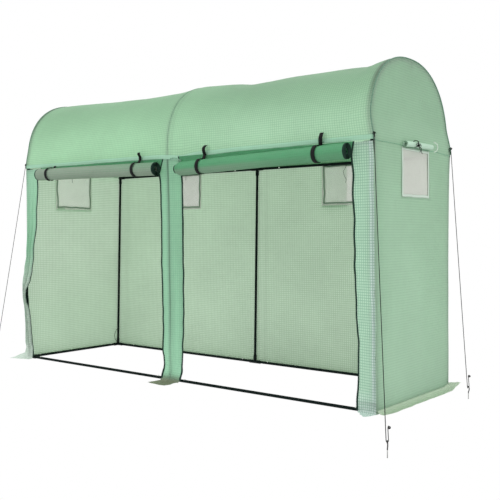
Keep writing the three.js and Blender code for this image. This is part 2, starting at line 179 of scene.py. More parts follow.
def startGroup(name, inputs, outputs):
    # a socket's kind follows from its value: a number, a colour or, without a value, a vector
    tree = bpy.data.node_groups.new(name, "ShaderNodeTree")
    for label, value in inputs.items():
        kind = "Vector" if value is None else "Color" if isinstance(value, tuple) else "Float"
        socket = tree.interface.new_socket(name=label, in_out="INPUT", socket_type="NodeSocket" + kind)
        if value is not None:
            socket.default_value = value
    for label in outputs:
        kind = "Color" if label == "Color" else "Float"
        tree.interface.new_socket(name=label, in_out="OUTPUT", socket_type="NodeSocket" + kind)
    return tree, tree.nodes.new("NodeGroupInput").outputs, tree.nodes.new("NodeGroupOutput").inputs


def calc(tree, operation, first, second=None):
    return addNode(tree, "Math", {0: first, 1: second}, operation=operation)


def times(tree, first, second):
    return calc(tree, "MULTIPLY", first, second)


def remap(tree, value, given, wanted=(0.0, 1.0)):
    limits = {"From Min": given[0], "From Max": given[1], "To Min": wanted[0], "To Max": wanted[1]}
    return addNode(tree, "MapRange", {"Value": value, **limits}, "Result")


def cloudy(tree, vector, scale, detail, roughness=0.5, stretch=None):
    if stretch:
        vector = addNode(tree, "Mapping", {"Scale": stretch, "Vector": vector})
    clouds = {"Scale": scale, "Detail": detail, "Roughness": roughness, "Vector": vector}
    return addNode(tree, "TexNoise", clouds, "Fac")


def blendColors(tree, factor, first, second):
    # the colour sockets of this node come after those for numbers and vectors
    return addNode(tree, "Mix", {0: factor, 6: first, 7: second}, 2, data_type="RGBA")


def scaleColor(tree, color, amount):
    return addNode(tree, "VectorMath", {0: color, "Scale": amount}, operation="SCALE")


def axisOf(tree, vector, axis):
    return addNode(tree, "SeparateXYZ", {0: vector}, axis)


def threadLines(tree, place, given):
    # 1 in the middle of a line of the grid, falling to 0 at its edge
    return remap(tree, calc(tree, "PINGPONG", place, 0.5), given, (1.0, 0.0))


def makeGridSheetGroup():
    tree, given, result = startGroup(
        "griddedSheet",
        {
            "Vector": None,
            "Shade": 1.0,
            "Stain_and_light": 0.0,
            "Color": (0.4, 0.65, 0.45, 1),
            "Line Color": (0.25, 0.45, 0.3, 1),
            "Stain Color": (0.3, 0.3, 0.2, 1),
            "Cells Per Metre": 66.0,
            "Line Share": 0.2,
            "Line Strength": 0.4,
        },
        ("Color", "Height", "Roughness"),
    )
    vector, look = given["Vector"], sheetWeave
    places = [times(tree, axisOf(tree, vector, axis), given["Cells Per Metre"]) for axis in "XY"]
    lines = calc(tree, "MAXIMUM", *(threadLines(tree, place, (0.0, given["Line Share"])) for place in places))
    tape = 2 * math.pi * look["tapesPerCell"]
    tapes = times(tree, *(calc(tree, "SINE", times(tree, place, tape)) for place in places))
    broad, fine, crease = (cloudy(tree, vector, *look[name]) for name in ("broad", "fine", "crease"))
    offMiddle = calc(tree, "ABSOLUTE", calc(tree, "SUBTRACT", crease, 0.5))
    fold = remap(tree, offMiddle, (0.0, look["foldReach"]), (1.0, 0.0))
    # the second colour comes in by the stain_and_light mask: painted light on some sheets, a real stain on
    # others
    base = blendColors(tree, given["Stain_and_light"], given["Color"], given["Stain Color"])
    lined = blendColors(tree, times(tree, lines, given["Line Strength"]), base, given["Line Color"])
    tone = calc(tree, "ADD", remap(tree, broad, cloudRange, look["broadTone"]),
                remap(tree, fine, cloudRange, look["fineTone"]))
    height = 0.0
    for form, amount in zip((lines, tapes, crease, fold), look["heights"]):
        height = calc(tree, "ADD", height, times(tree, form, amount))
    # the shade mask multiplies painted light and shade into the colour
    feed(tree, scaleColor(tree, lined, times(tree, tone, given["Shade"])), result["Color"])
    feed(tree, height, result["Height"])
    feed(tree, remap(tree, fine, cloudRange, look["roughness"]), result["Roughness"])
    return tree


def makeWebbingGroup():
    tree, given, result = startGroup(
        "wovenWebbing",
        {"Vector": None, "Color": (0.02, 0.02, 0.02, 1), "Threads Per Metre": 600.0},
        ("Color", "Height"),
    )
    vector, look = given["Vector"], webbingWeave
    threads = times(tree, given["Threads Per Metre"], math.pi)
    across, along = (times(tree, axisOf(tree, vector, axis), threads) for axis in "XY")
    chevron = calc(tree, "SINE", calc(tree, "ADD", along, calc(tree, "PINGPONG", across, look["chevron"])))
    height = times(tree, calc(tree, "ADD", chevron, calc(tree, "SINE", across)), 0.5)
    worn = remap(tree, cloudy(tree, vector, *look["worn"]), cloudRange, look["wornTone"])
    # painted light and shade of the weave: raised threads lighter, the grooves between them darker; the worn
    # patches are random
    tone = times(tree, remap(tree, height, (-1.0, 1.0), look["ribLightAndShade"]), worn)
    feed(tree, scaleColor(tree, given["Color"], tone), result["Color"])
    feed(tree, height, result["Height"])
    return tree


def makeCoatedSteelGroup():
    tree, given, result = startGroup(
        "coatedSteel",
        {"Vector": None, "Color": (0.012, 0.02, 0.016, 1), "Dust Color": (0.2, 0.2, 0.18, 1), "Dust": 0.12},
        ("Color", "Height", "Roughness"),
    )
    vector, look = given["Vector"], steelCoat
    speckle, patches, scuffs = (cloudy(tree, vector, *look[name])
                                for name in ("speckle", "patches", "scuffs"))
    dusty = times(tree, remap(tree, patches, look["dusty"]), given["Dust"])
    feed(tree, blendColors(tree, dusty, given["Color"], given["Dust Color"]), result["Color"])
    feed(tree, speckle, result["Height"])
    feed(tree, remap(tree, scuffs, cloudRange, look["roughness"]), result["Roughness"])
    return tree


griddedSheet = makeGridSheetGroup()
wovenWebbing = makeWebbingGroup()
coatedSteel = makeCoatedSteelGroup()


# Materials

def startMaterial(name, group, values, finish, bumps=(None, None), source="UV"):
    material = bpy.data.materials.new(name)
    material.use_nodes = True
    tree = material.node_tree
    effect = tree.nodes.new("ShaderNodeGroup")
    effect.node_tree = group
    feed(tree, addNode(tree, "TexCoord", {}, source), effect.inputs["Vector"])
    for label, value in values.items():
        feed(tree, value, effect.inputs[label])
    # the shade attribute is painted light and shade; the stain_and_light attribute is painted light on some
    # pieces and a real stain on others
    for label in ("Shade", "Stain_and_light"):
        if label in effect.inputs:
            mask = addNode(tree, "Attribute", {}, "Fac", attribute_name=label.lower())
            feed(tree, mask, effect.inputs[label])
    relief = {"Height": effect.outputs["Height"], "Distance": bumps[0], "Strength": bumps[1]}
    color, normal = effect.outputs["Color"], addNode(tree, "Bump", relief)
    surface = {"Base Color": color, "Normal": normal, "Roughness": effect.outputs.get("Roughness"), **finish}
    for label, value in surface.items():
        feed(tree, value, tree.nodes["Principled BSDF"].inputs[label])
    return material, color, normal


def letThrough(material, share, light, mask=None):
    # mixes in light that comes through the cloth and, with a mask, leaves holes between its threads
    tree = material.node_tree
    shader = tree.nodes["Principled BSDF"].outputs["BSDF"]
    mixed = addNode(tree, "MixShader", {0: share, 1: shader, 2: addNode(tree, "BsdfTranslucent", light)})
    if mask:
        mixed = addNode(tree, "MixShader", {0: mask, 1: addNode(tree, "BsdfTransparent", {}), 2: mixed})
    feed(tree, mixed, tree.nodes["Material Output"].inputs["Surface"])
    return material


def sheetMaterial(name, look):
    material, color, normal = startMaterial(
        name,
        griddedSheet,
        {
            "Color": (*look["color"], 1),
            "Line Color": (*look["line"], 1),
            "Stain Color": (*look.get("stain_and_light", look["line"]), 1),
            "Line Share": look.get("lineShare", 0.2),
            "Line Strength": look["lineStrength"],
        },
        {"Specular IOR Level": look.get("gloss", 0.35)},
        (look.get("bump", 0.001), 0.8),
    )
    return letThrough(material, look["light"], {"Color": color, "Normal": normal})


def webbingMaterial(name, color, threads=900.0, rough=0.75):
    values = {"Color": (*color, 1), "Threads Per Metre": threads}
    finish = {"Roughness": rough, "Specular IOR Level": 0.2}
    return startMaterial(name, wovenWebbing, values, finish, (0.0004, 0.7))[0]


def steelMaterial(name, color, metallic=0.0, dust=0.12, shine=0.22):
    finish = {"Metallic": metallic, "Specular IOR Level": shine}
    values = {"Color": (*color, 1), "Dust": dust}
    return startMaterial(name, coatedSteel, values, finish, (0.0002, 0.3), "Object")[0]


def netMaterial(name, look):
    color = (*look["color"], 1)
    values = {"Color": color, "Line Color": color, "Cells Per Metre": look["cells"], "Line Strength": 0.0}
    material, color, normal = startMaterial(name, griddedSheet, values, {})
    tree = material.node_tree
    vector = tree.nodes["Texture Coordinate"].outputs["UV"]
    threads = [threadLines(tree, times(tree, axisOf(tree, vector, axis), look["cells"]), look["thread"])
               for axis in "XY"]
    return letThrough(material, look["light"], {"Color": color}, calc(tree, "MAXIMUM", *threads))


# roof, wall, endWall, flapRoll, flap, strip, leftStrip, rightStrip, skirt and hem are one cover cloth,
# coloured apart as painted light and shade for how light falls on each part; the second colours are painted
# light on roof, wall, leftStrip and rightStrip (a painted highlight there), a dark stain on the strip's foot,
# an olive on the skirt and a grey on the door
sheetLooks = {
    "roof": {
        "color": (0.43, 0.70, 0.46), "line": (0.26, 0.52, 0.33), "light": 0.5, "lineStrength": 0.7,
        "stain_and_light": (0.80, 0.90, 0.82),
    },
    "wall": {
        "color": (0.55, 0.70, 0.55), "line": (0.34, 0.50, 0.33), "light": 0.55, "lineStrength": 0.9,
        "lineShare": 0.28, "stain_and_light": (0.80, 0.86, 0.78),
    },
    "endWall": {"color": (0.42, 0.62, 0.45), "line": (0.26, 0.46, 0.31), "light": 0.5, "lineStrength": 0.6},
    "flapRoll": {"color": (0.58, 0.80, 0.64), "line": (0.42, 0.66, 0.48), "light": 0.25, "lineStrength": 0.4},
    "flap": {"color": (0.84, 0.93, 0.86), "line": (0.66, 0.80, 0.68), "light": 0.85, "lineStrength": 0.7},
    "strip": {
        "color": (0.40, 0.72, 0.50), "line": (0.18, 0.48, 0.30), "light": 0.45, "lineStrength": 0.45,
        "stain_and_light": (0.17, 0.15, 0.10),
    },
    "leftStrip": {
        "color": (0.44, 0.74, 0.54), "line": (0.22, 0.50, 0.33), "light": 0.45, "lineStrength": 0.5,
        "stain_and_light": (0.70, 0.75, 0.70),
    },
    "rightStrip": {
        "color": (0.60, 0.82, 0.66), "line": (0.22, 0.48, 0.34), "light": 0.45, "lineStrength": 0.85,
        "stain_and_light": (0.80, 0.92, 0.90),
    },
    "skirt": {
        "color": (0.61, 0.75, 0.58), "line": (0.44, 0.60, 0.42), "light": 0.3, "lineStrength": 0.7,
        "stain_and_light": (0.17, 0.18, 0.10),
    },
    "door": {
        "color": (0.10, 0.42, 0.19), "line": (0.08, 0.34, 0.15), "light": 0.3, "lineStrength": 0.4,
        "stain_and_light": (0.36, 0.42, 0.34), "bump": 0.003, "gloss": 0.6,
    },
    "hem": {"color": (0.46, 0.76, 0.57), "line": (0.34, 0.62, 0.44), "light": 0.3, "lineStrength": 0.5},
    "paleTape": {"color": (0.66, 0.78, 0.68), "line": (0.55, 0.70, 0.58), "light": 0.2, "lineStrength": 0.2},
    "darkTape": {"color": (0.22, 0.31, 0.23), "line": (0.18, 0.26, 0.19), "light": 0.2, "lineStrength": 0.2},
}
cloths = {name: sheetMaterial(name + "Cloth", look) for name, look in sheetLooks.items()}
trimTape = webbingMaterial("trimTape", (0.010, 0.032, 0.022), 500.0)
blackWebbing = webbingMaterial("blackWebbing", (0.004, 0.005, 0.005), 700.0, 0.7)
cordBraid = webbingMaterial("cordBraid", (0.008, 0.009, 0.009))
paleCord = webbingMaterial("paleCord", (0.62, 0.68, 0.62))
seamThread = webbingMaterial("seamThread", (0.20, 0.38, 0.26))
pipingTape = webbingMaterial("pipingTape", (0.12, 0.23, 0.16), 500.0)
frameSteel = steelMaterial("frameSteel", (0.002, 0.007, 0.006), dust=0.012, shine=0.05)
socketSteel = steelMaterial("socketSteel", (0.003, 0.007, 0.006), dust=0.02, shine=0.07)
pegSteel = steelMaterial("pegSteel", (0.45, 0.45, 0.44), metallic=0.9, dust=0.3)
pegCoating = steelMaterial("pegCoating", (0.02, 0.02, 0.02))
snapSteel = steelMaterial("snapSteel", (0.75, 0.75, 0.73), metallic=1.0, dust=0.05)
netLook = {"color": (0.72, 0.71, 0.67), "cells": 480.0, "thread": (0.31, 0.41), "light": 0.3}
insectNet = netMaterial("insectNet", netLook)
print("materials made")


# Shared ways of making a piece

def easeIn(value, low, high):
    share = min(max((value - low) / (high - low), 0.0), 1.0)
    return share * share * (3 - 2 * share)


def easeOut(value, low, high):
    return 1 - easeIn(value, low, high)


def bump(value, middle, reach):
    return math.exp(-((value - middle) / reach) ** 2)


def between(points, value, run=easeIn):
    # smooth way through a few measured (value, result) pairs
    if value <= points[0][0]:
        return points[0][1]
    for (a, first), (b, second) in zip(points, points[1:]):
        if value <= b:
            return first + (second - first) * run(value, a, b)
    return points[-1][1]


def ripple(u, v, seed, scale, detail=2):
    total, gain = 0.0, 1.0
    for octave in range(detail):
        step = 2 ** octave
        total += gain * noise.noise(Vector((u * scale[0] * step, v * scale[1] * step, seed + 7.3 * octave)))
        gain *= 0.5
    return total


def toned(look, s, t):
    # painted light and shade of a sheet: a base with soft steps and stripes across it, up it or aside from
    # its middle
    places = {"across": s, "up": t, "aside": abs(s)}
    return look["base"] + sum(amount * run(places[way], first, second)
                              for amount, way, run, first, second in look["tones"])


def cutOpen(bm, cuts, holes):
    # cuts a flat sheet along lines and takes its holes out
    for first, second in holes:
        cuts = cuts + [("x", first[0]), ("x", second[0]), ("y", first[1]), ("y", second[1])]
    for axis, place in cuts:
        normal = Vector((1, 0, 0) if axis == "x" else (0, 1, 0))
        parts = bm.verts[:] + bm.edges[:] + bm.faces[:]
        bmesh.ops.bisect_plane(bm, geom=parts, dist=1e-5, plane_co=normal * place, plane_no=normal)
    for first, second in holes:
        inside = []
        for face in bm.faces:
            middle = face.calc_center_median()
            if first[0] < middle.x < second[0] and first[1] < middle.y < second[1]:
                inside.append(face)
        bmesh.ops.delete(bm, geom=inside, context="FACES")


def cutSheet(low, high, cells, cuts=(), holes=()):
    # a flat rectangle of cloth in metres
    bm = bmesh.new()
    bmesh.ops.create_grid(bm, x_segments=cells[0], y_segments=cells[1], size=0.5)
    for vert in bm.verts:
        vert.co.x = low[0] + (vert.co.x + 0.5) * (high[0] - low[0])
        vert.co.y = low[1] + (vert.co.y + 0.5) * (high[1] - low[1])
    cutOpen(bm, list(cuts), holes)
    return bm


def drape(bm, place, shade=None, stain_and_light=None, trim=None, flat=None):
    # keeps the flat pattern as UV in metres and moves each point to its place
    uv = bm.loops.layers.uv.new("sheetUV")
    dark = bm.verts.layers.float.new("shade")
    spots = bm.verts.layers.float.new("stain_and_light")
    for face in bm.faces:
        if trim:
            middle = face.calc_center_median()
            face.material_index = trim(middle.x, middle.y)
        for loop in face.loops:
            point = loop.vert.co
            loop[uv].uv = flat(point.x, point.y) if flat else (point.x, point.y)
    # each point's shade is painted light and shade; its stain_and_light is painted light on some pieces and a
    # real stain on others
    for vert in bm.verts:
        s, t = vert.co.x, vert.co.y
        vert[dark] = shade(s, t) if shade else 1.0
        vert[spots] = stain_and_light(s, t) if stain_and_light else 0.0
        vert.co = place(s, t)
    bm.normal_update()


def finishPiece(name, bm, materials, slot, body="house", thickness=None, rides=True, node=None):
    mesh = bpy.data.meshes.new(name)
    bm.to_mesh(mesh)
    bm.free()
    for material in materials if isinstance(materials, list) else [materials]:
        mesh.materials.append(material)
    for face in mesh.polygons:
        face.use_smooth = True
    piece = addObject(name, mesh)
    if thickness:
        wall = piece.modifiers.new("thickness", "SOLIDIFY")
        wall.thickness = thickness
        wall.offset = -1
    if rides:
        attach(piece, body)
    if node:
        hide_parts(node)
    return piece


def clothPiece(name, bm, place, outward, cloth, slot="cover_sheet", looks=None, **how):
    # drapes a sheet and turns its largest face, and with it the whole sheet, to its outside
    drape(bm, place, **(looks or {}))
    if outward and max(bm.faces, key=lambda face: face.calc_area()).normal.dot(outward) < 0:
        bmesh.ops.reverse_faces(bm, faces=bm.faces[:])
    return finishPiece(name, bm, cloth, slot, **how)


def pathLengths(points):
    lengths = [0.0]
    for before, after in zip(points, points[1:]):
        lengths.append(lengths[-1] + math.dist(before, after))
    return lengths


def pathSides(points):
    # for each point two directions square to the path, carried along it without a twist
    tangents = []
    for k in range(len(points)):
        tangents.append((points[min(k + 1, len(points) - 1)] - points[max(k - 1, 0)]).normalized())
    side = tangents[0].orthogonal().normalized()
    sides = [side]
    for before, after in zip(tangents, tangents[1:]):
        side = before.rotation_difference(after) @ side
        side = (side - after * side.dot(after)).normalized()
        sides.append(side)
    return [(side, tangent.cross(side)) for side, tangent in zip(sides, tangents)]


def onPath(points, lengths, wanted):
    k = 0
    while k < len(lengths) - 2 and lengths[k + 1] < wanted:
        k += 1
    part = min((wanted - lengths[k]) / max(lengths[k + 1] - lengths[k], 1e-9), 1.0)
    return points[k].lerp(points[k + 1], part)


def smoothPath(points, steps):
    # a soft curve through a few points
    points = [Vector(point) for point in points]
    line = []
    for k in range(len(points) - 1):
        p0, p3 = points[max(k - 1, 0)], points[min(k + 2, len(points) - 1)]
        p1, p2 = points[k], points[k + 1]
        for step in range(steps):
            t = step / steps
            line.append(0.5 * ((2 * p1) + (p2 - p0) * t + (2 * p0 - 5 * p1 + 4 * p2 - p3) * t ** 2
                               + (3 * p1 - p0 - 3 * p2 + p3) * t ** 3))
    line.append(points[-1])
    return line


def tubeGrid(points, radius, sides=8):
    points = [Vector(point) for point in points]
    lengths, square, count = pathLengths(points), pathSides(points), len(points) - 1
    bm = cutSheet((0, 0), (sides, count), (sides, count))
    around = 2 * math.pi * radius / sides

    def place(s, t):
        k = min(int(round(t)), count)
        angle = s / sides * 2 * math.pi
        return points[k] + (square[k][0] * math.cos(angle) + square[k][1] * math.sin(angle)) * radius

    drape(bm, place, flat=lambda s, t: (s * around, lengths[min(int(round(t)), count)]))
    bmesh.ops.remove_doubles(bm, verts=bm.verts[:], dist=1e-6)
    bmesh.ops.holes_fill(bm, edges=[edge for edge in bm.edges if edge.is_boundary], sides=0)
    bmesh.ops.recalc_face_normals(bm, faces=bm.faces[:])
    return bm


def bandGrid(points, across, width, steps):
    # a flat band that follows a path, across is the direction of its width
    lengths = pathLengths(points)
    bm = cutSheet((-width / 2, 0), (width / 2, lengths[-1]), (2, steps))
    drape(bm, lambda s, t: onPath(points, lengths, t) + across * s)
    return bm


def knotGrid(middle, size, radius, turn=0.0):
    # a small overhand knot: one closed trefoil of cord
    points = []
    steps = 36
    for k in range(steps + 1):
        a = 2 * math.pi * k / steps
        reach = 2 + math.cos(3 * a)
        flat = Vector((reach * math.cos(2 * a + turn), math.sin(3 * a), reach * math.sin(2 * a + turn)))
        points.append(middle + flat * (size / 3))
    return tubeGrid(points, radius, 6)


def joinGrids(grids):
    whole = bmesh.new()
    for grid in grids:
        part = bpy.data.meshes.new("part")
        grid.to_mesh(part)
        grid.free()
        whole.from_mesh(part)
        bpy.data.meshes.remove(part)
    return whole


def tubePiece(name, points, radius, material, slot, sides=8, **how):
    return finishPiece(name, tubeGrid(points, radius, sides), material, slot, **how)


# The house's main lines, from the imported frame

roofLow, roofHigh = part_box("cover_roof")
house = {
    "halfLength": 1.5,
    "wallFoot": 0.4998,
    "wallTop": roofHigh.y,
    "hem": roofLow.z,
    "legTop": roofLow.z + 0.045,
    "apex": roofHigh.z,
    "fullness": 2.4,
    "rearFullness": 2.17,
    "rearPinch": [(0.05, 0.0), (0.5, 0.010), (0.9, 0.017), (1.2, 0.018), (1.35, 0.014), (1.44, 0.008),
                  (1.5, 0.0)],
    "pinchReach": 0.28,
    "cornerBow": [(0.02, 0.0), (0.15, 0.014), (0.28, 0.026), (0.42, 0.036), (0.50, 0.045), (0.57, 0.043),
                  (0.65, 0.030), (0.80, 0.010), (0.95, 0.0)],
    "sheet": 0.0007,
    "archSteps": 240,
    "gableLean": 0.024,
    "leanReach": 0.18,
    "frameX": 1.4865,
    "baseY": 0.4865,
    "eaveY": 0.5165,
    "railHeight": 0.012,
    "eaveHeight": 1.49,
    "tubeRadius": 0.0095,
}
rows = {"front": -1, "rear": 1}
halves = {"left": -1, "right": 1}


def wallY(z):
    # outside of the front and rear walls, which lean out towards the top
    return house["wallFoot"] + (house["wallTop"] - house["wallFoot"]) * min(z / house["hem"], 1.0)


def rearPinch(z):
    # the rear right post bends inwards a little, with the cloth round it
    return between(house["rearPinch"], z)


def cornerBow(z):
    # the front left post bows outwards above its foot and takes the cloth with it
    return between(house["cornerBow"], z)


ridge = {
    "drop": 0.036,
    "soften": 0.03,
    "rises": [
        (-1.5, 0.021), (-1.0, -0.002), (-0.5, -0.021), (-0.12, -0.017), (0.04, 0.003), (0.2, -0.008),
        (0.3, -0.015), (0.45, -0.037), (0.6, -0.033), (0.8, -0.026), (1.1, -0.026), (1.25, -0.030),
        (1.34, -0.038), (1.43, -0.007), (1.5, -0.004),
    ],
}


def straightRun(value, low, high):
    return (value - low) / (high - low)


def ridgeRise(x):
    # the cloth is highest over the bows and sags between them onto the ridge tubes
    soften = ridge["soften"]
    return sum(between(ridge["rises"], x + reach, straightRun) for reach in (-soften, soften)) / 2


def gableLean(z):
    # the cover pulls both end bows a little inwards
    return house["gableLean"] * easeIn(z, house["hem"], house["hem"] + house["leanReach"])


def archSpot(angle, inset=0.0, rise=0.0):
    # a point of the arch from the front hem's side, at 0, over the crown to the rear side, at pi
    height = house["apex"] - inset - house["legTop"] + rise
    across, up = math.cos(angle), max(math.sin(angle), 0.0)
    power = 2 / house["fullness" if across >= 0 else "rearFullness"]
    y = -math.copysign(abs(across) ** power, across) * (house["wallTop"] - inset)
    return y, house["legTop"] + height * up ** power


archPoints = [(-house["wallTop"], house["hem"])]
archPoints += [archSpot(math.pi * k / house["archSteps"]) for k in range(house["archSteps"] + 1)]
archPoints.append((house["wallTop"], house["hem"]))
archLengths = pathLengths(archPoints)
archLength = archLengths[-1]


def archAt(length):
    # place and outward direction at a length along the arch, from the front hem
    k = next((k for k, mark in enumerate(archLengths) if mark > length), len(archLengths) - 1)
    (y1, z1), (y2, z2), run = archPoints[k - 1], archPoints[k], archLengths[k] - archLengths[k - 1]
    share = (length - archLengths[k - 1]) / run
    return y1 + (y2 - y1) * share, z1 + (z2 - z1) * share, ((z1 - z2) / run, (y2 - y1) / run)


# Guy ropes and their pegs: a taut rope from each corner's knot, through the peg's eye and back up to a knot

ropes = {
    "radius": 0.002,
    "gap": 0.0003,
    "tieHeight": 1.54,
    "cornerY": 0.53,
    "tuck": 0.022,
    "tail": 0.06,
    "sag": 0.012,
    "bendSteps": 6,
    "spanSteps": 24,
    "topKnot": (0.008, 0.0022),
    "footKnot": (0.007, 0.0018),
    "pegRadius": 0.0025,
    "pegPin": 0.042,
    "pegEye": 0.014,
    "coating": 1.15,
    "coatedFrom": 0.85,
    "eyeStart": -math.pi / 4,
    "eyeSteps": 16,
    "feet": {
        "front_right": (1, -1, 1.917, -1.226),
        "rear_right": (1, 1, 1.720, 0.255),
        "front_left": (-1, -1, -1.612, -0.737),
    },
}


def makeRope(name, endSide, rowSide, footX, footY):
    clear = ropes["radius"] + 2 * ropes["gap"]
    outX = endSide * (house["halfLength"] + clear)
    tied = Vector((outX, rowSide * (ropes["cornerY"] - ropes["tuck"]), ropes["tieHeight"]))
    corner = Vector((outX, rowSide * (ropes["cornerY"] + clear), ropes["tieHeight"]))
    eye = Vector((footX, footY, ropes["pegPin"] + ropes["pegEye"] * math.sqrt(2)))
    up = (corner - eye).normalized()
    wire = eye + up * ropes["pegEye"]
    across = Vector((-up.y, up.x, 0)).normalized()
    turn = ropes["pegRadius"] + clear
    line = [tied]
    for k in range(ropes["spanSteps"]):
        share = k / ropes["spanSteps"]
        line.append(corner.lerp(wire + across * turn, share))
        line[-1].z -= ropes["sag"] * 4 * share * (1 - share)
    for k in range(ropes["bendSteps"] + 1):
        angle = math.pi * k / ropes["bendSteps"]
        line.append(wire + across * turn * math.cos(angle) - up * turn * math.sin(angle))
    line.append(line[-1] + up * ropes["tail"])
    rope = tubePiece("guyRope_" + name, line, ropes["radius"], cordBraid, "rope", node="guy_rope_" + name)
    knots = [knotGrid(corner, *ropes["topKnot"]), knotGrid(line[-1] - across * turn, *ropes["footKnot"])]
    knot = finishPiece("ropeKnots_" + name, joinGrids(knots), cordBraid, "rope")
    facing = Vector((-up.x, -up.y, 0)).normalized()
    heights = (0, ropes["coatedFrom"], 1)
    foot, shoulder, pinTop = (Vector((footX, footY, ropes["pegPin"] * share)) for share in heights)
    hook = [shoulder, pinTop]
    for k in range(ropes["eyeSteps"] + 1):
        angle = ropes["eyeStart"] + (math.pi - ropes["eyeStart"]) * k / ropes["eyeSteps"]
        hook.append(eye + (facing * math.cos(angle) + Vector((0, 0, math.sin(angle)))) * ropes["pegEye"])
    peg = {"slot": "peg_steel", "node": "ground_peg_" + name}
    pinPiece = tubePiece("pegPin_" + name, [foot, pinTop], ropes["pegRadius"], pegSteel, sides=16, **peg)
    thick = ropes["pegRadius"] * ropes["coating"]
    hookPiece = tubePiece("pegHook_" + name, hook, thick, pegCoating, sides=12, **peg)
    round(pathLengths(line)[-1], 3)
    [tuple(point) for point in line]


for ropeName, footing in ropes["feet"].items():
    makeRope(ropeName, *footing)
print("guy ropes and pegs made")


# Steel tube frame

frameLook = {
    "sides": 20,
    "steps": 24,
    "bowSides": 16,
    "bowSteps": 48,
    "stop": 0.014,
    "spigot": 0.05,
    "spigotRadius": 0.0115,
    "sheetGap": 0.0125,
    "buttonRadius": 0.006,
    "buttonRise": 0.0042,
    "buttonHeight": 0.0215,
    "baseButtons": [
        (0.117, -0.4865), (-0.117, -0.4865), (-1.370, -0.4865), (1.370, -0.4865), (-1.291, 0.4865),
        (1.291, 0.4865), (-0.117, 0.4865), (0.117, 0.4865), (-1.4865, 0.40), (-1.4865, -0.40),
        (1.4865, 0.40), (1.4865, -0.40),
    ],
    "eaveButtons": [(0.205, 0.507), (-0.205, 0.507), (0.205, -0.507), (-0.205, -0.507)],
}
bowPlaces = {"left": -house["frameX"], "middle": 0.0, "right": house["frameX"]}


def frameTube(name, start, end):
    run = (Vector(end) - Vector(start)).normalized() * frameLook["stop"]
    low, high = Vector(start) + run, Vector(end) - run
    line = [low.lerp(high, k / frameLook["steps"]) for k in range(frameLook["steps"] + 1)]
    for point in line:
        if name == "post_front_left":
            point.x -= cornerBow(point.z)
        if name == "post_rear_right":
            point.y -= rearPinch(point.z)
    tubePiece(name + "_tube", line, house["tubeRadius"], frameSteel, "frame_steel", frameLook["sides"],
              node=name)


def makeFrame():
    low, high = house["railHeight"], house["eaveHeight"]
    for row, side in rows.items():
        baseY, eaveY = side * house["baseY"], side * house["eaveY"]
        for end, x in bowPlaces.items():
            frameTube(f"post_{row}_{end}", (x, baseY, low), (x, eaveY, high))
        for half in halves:
            frameTube(f"base_rail_{row}_{half}", (0, baseY, low), (bowPlaces[half], baseY, low))
            frameTube(f"eave_rail_{row}_{half}", (0, eaveY, high), (bowPlaces[half], eaveY, high))
    for half in halves:
        x = bowPlaces[half]
        frameTube(f"base_rail_{half}_end", (x, -house["baseY"], low), (x, house["baseY"], low))
    for name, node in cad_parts.items():
        if "connector" in name:
            node.data.materials.clear()
            node.data.materials.append(socketSteel)
    print("posts and rails made")


def bowLine(x):
    legTop = house["eaveHeight"] + frameLook["stop"]
    line = [Vector((x, -house["eaveY"], legTop))]
    for k in range(frameLook["bowSteps"] + 1):
        y, z = archSpot(math.pi * k / frameLook["bowSteps"], frameLook["sheetGap"], ridgeRise(x))
        lean = math.copysign(gableLean(z), x) if x else 0.0
        line.append(Vector((x - lean, y, z)))
    line.append(Vector((x, house["eaveY"], legTop)))
    return line


def makeBows():
    ridgeEnds = {}
    for end, x in bowPlaces.items():
        line = bowLine(x)
        crown = max(line, key=lambda point: point.z)
        start = crown - Vector((0, 0, ridge["drop"]))
        ridgeEnds[end] = start
        grids = [tubeGrid(line, house["tubeRadius"], frameLook["bowSides"])]
        for sign in halves.values():
            if x * sign <= 0:
                spigot = [start, start + Vector((sign * frameLook["spigot"], 0, 0))]
                grids.append(tubeGrid([crown, start], house["tubeRadius"], frameLook["bowSides"]))
                grids.append(tubeGrid(spigot, frameLook["spigotRadius"], frameLook["bowSides"]))
        finishPiece("bow_" + end + "_tube", joinGrids(grids), frameSteel, "frame_steel", node="bow_" + end)
    for half in halves:
        frameTube("ridge_rail_" + half, ridgeEnds["middle"], ridgeEnds[half])
    print("bows and ridge made")


def makeButtons():
    # small domes, which face up on the base rails and away from the cloth on the eave rails
    squeeze = frameLook["buttonRise"] / frameLook["buttonRadius"]
    bm = bmesh.new()
    for places, height, size in ((frameLook["baseButtons"], frameLook["buttonHeight"], (1, 1, squeeze, 1)),
                                 (frameLook["eaveButtons"], house["eaveHeight"], (1, squeeze, 1, 1))):
        for place in places:
            spot = Matrix.Translation((*place, height)) @ Matrix.Diagonal(size)
            bmesh.ops.create_uvsphere(bm, u_segments=14, v_segments=8, radius=frameLook["buttonRadius"],
                                      matrix=spot)
    finishPiece("springButtons", bm, snapSteel, "connector_steel")


makeFrame()
makeBows()
makeButtons()


# Roof

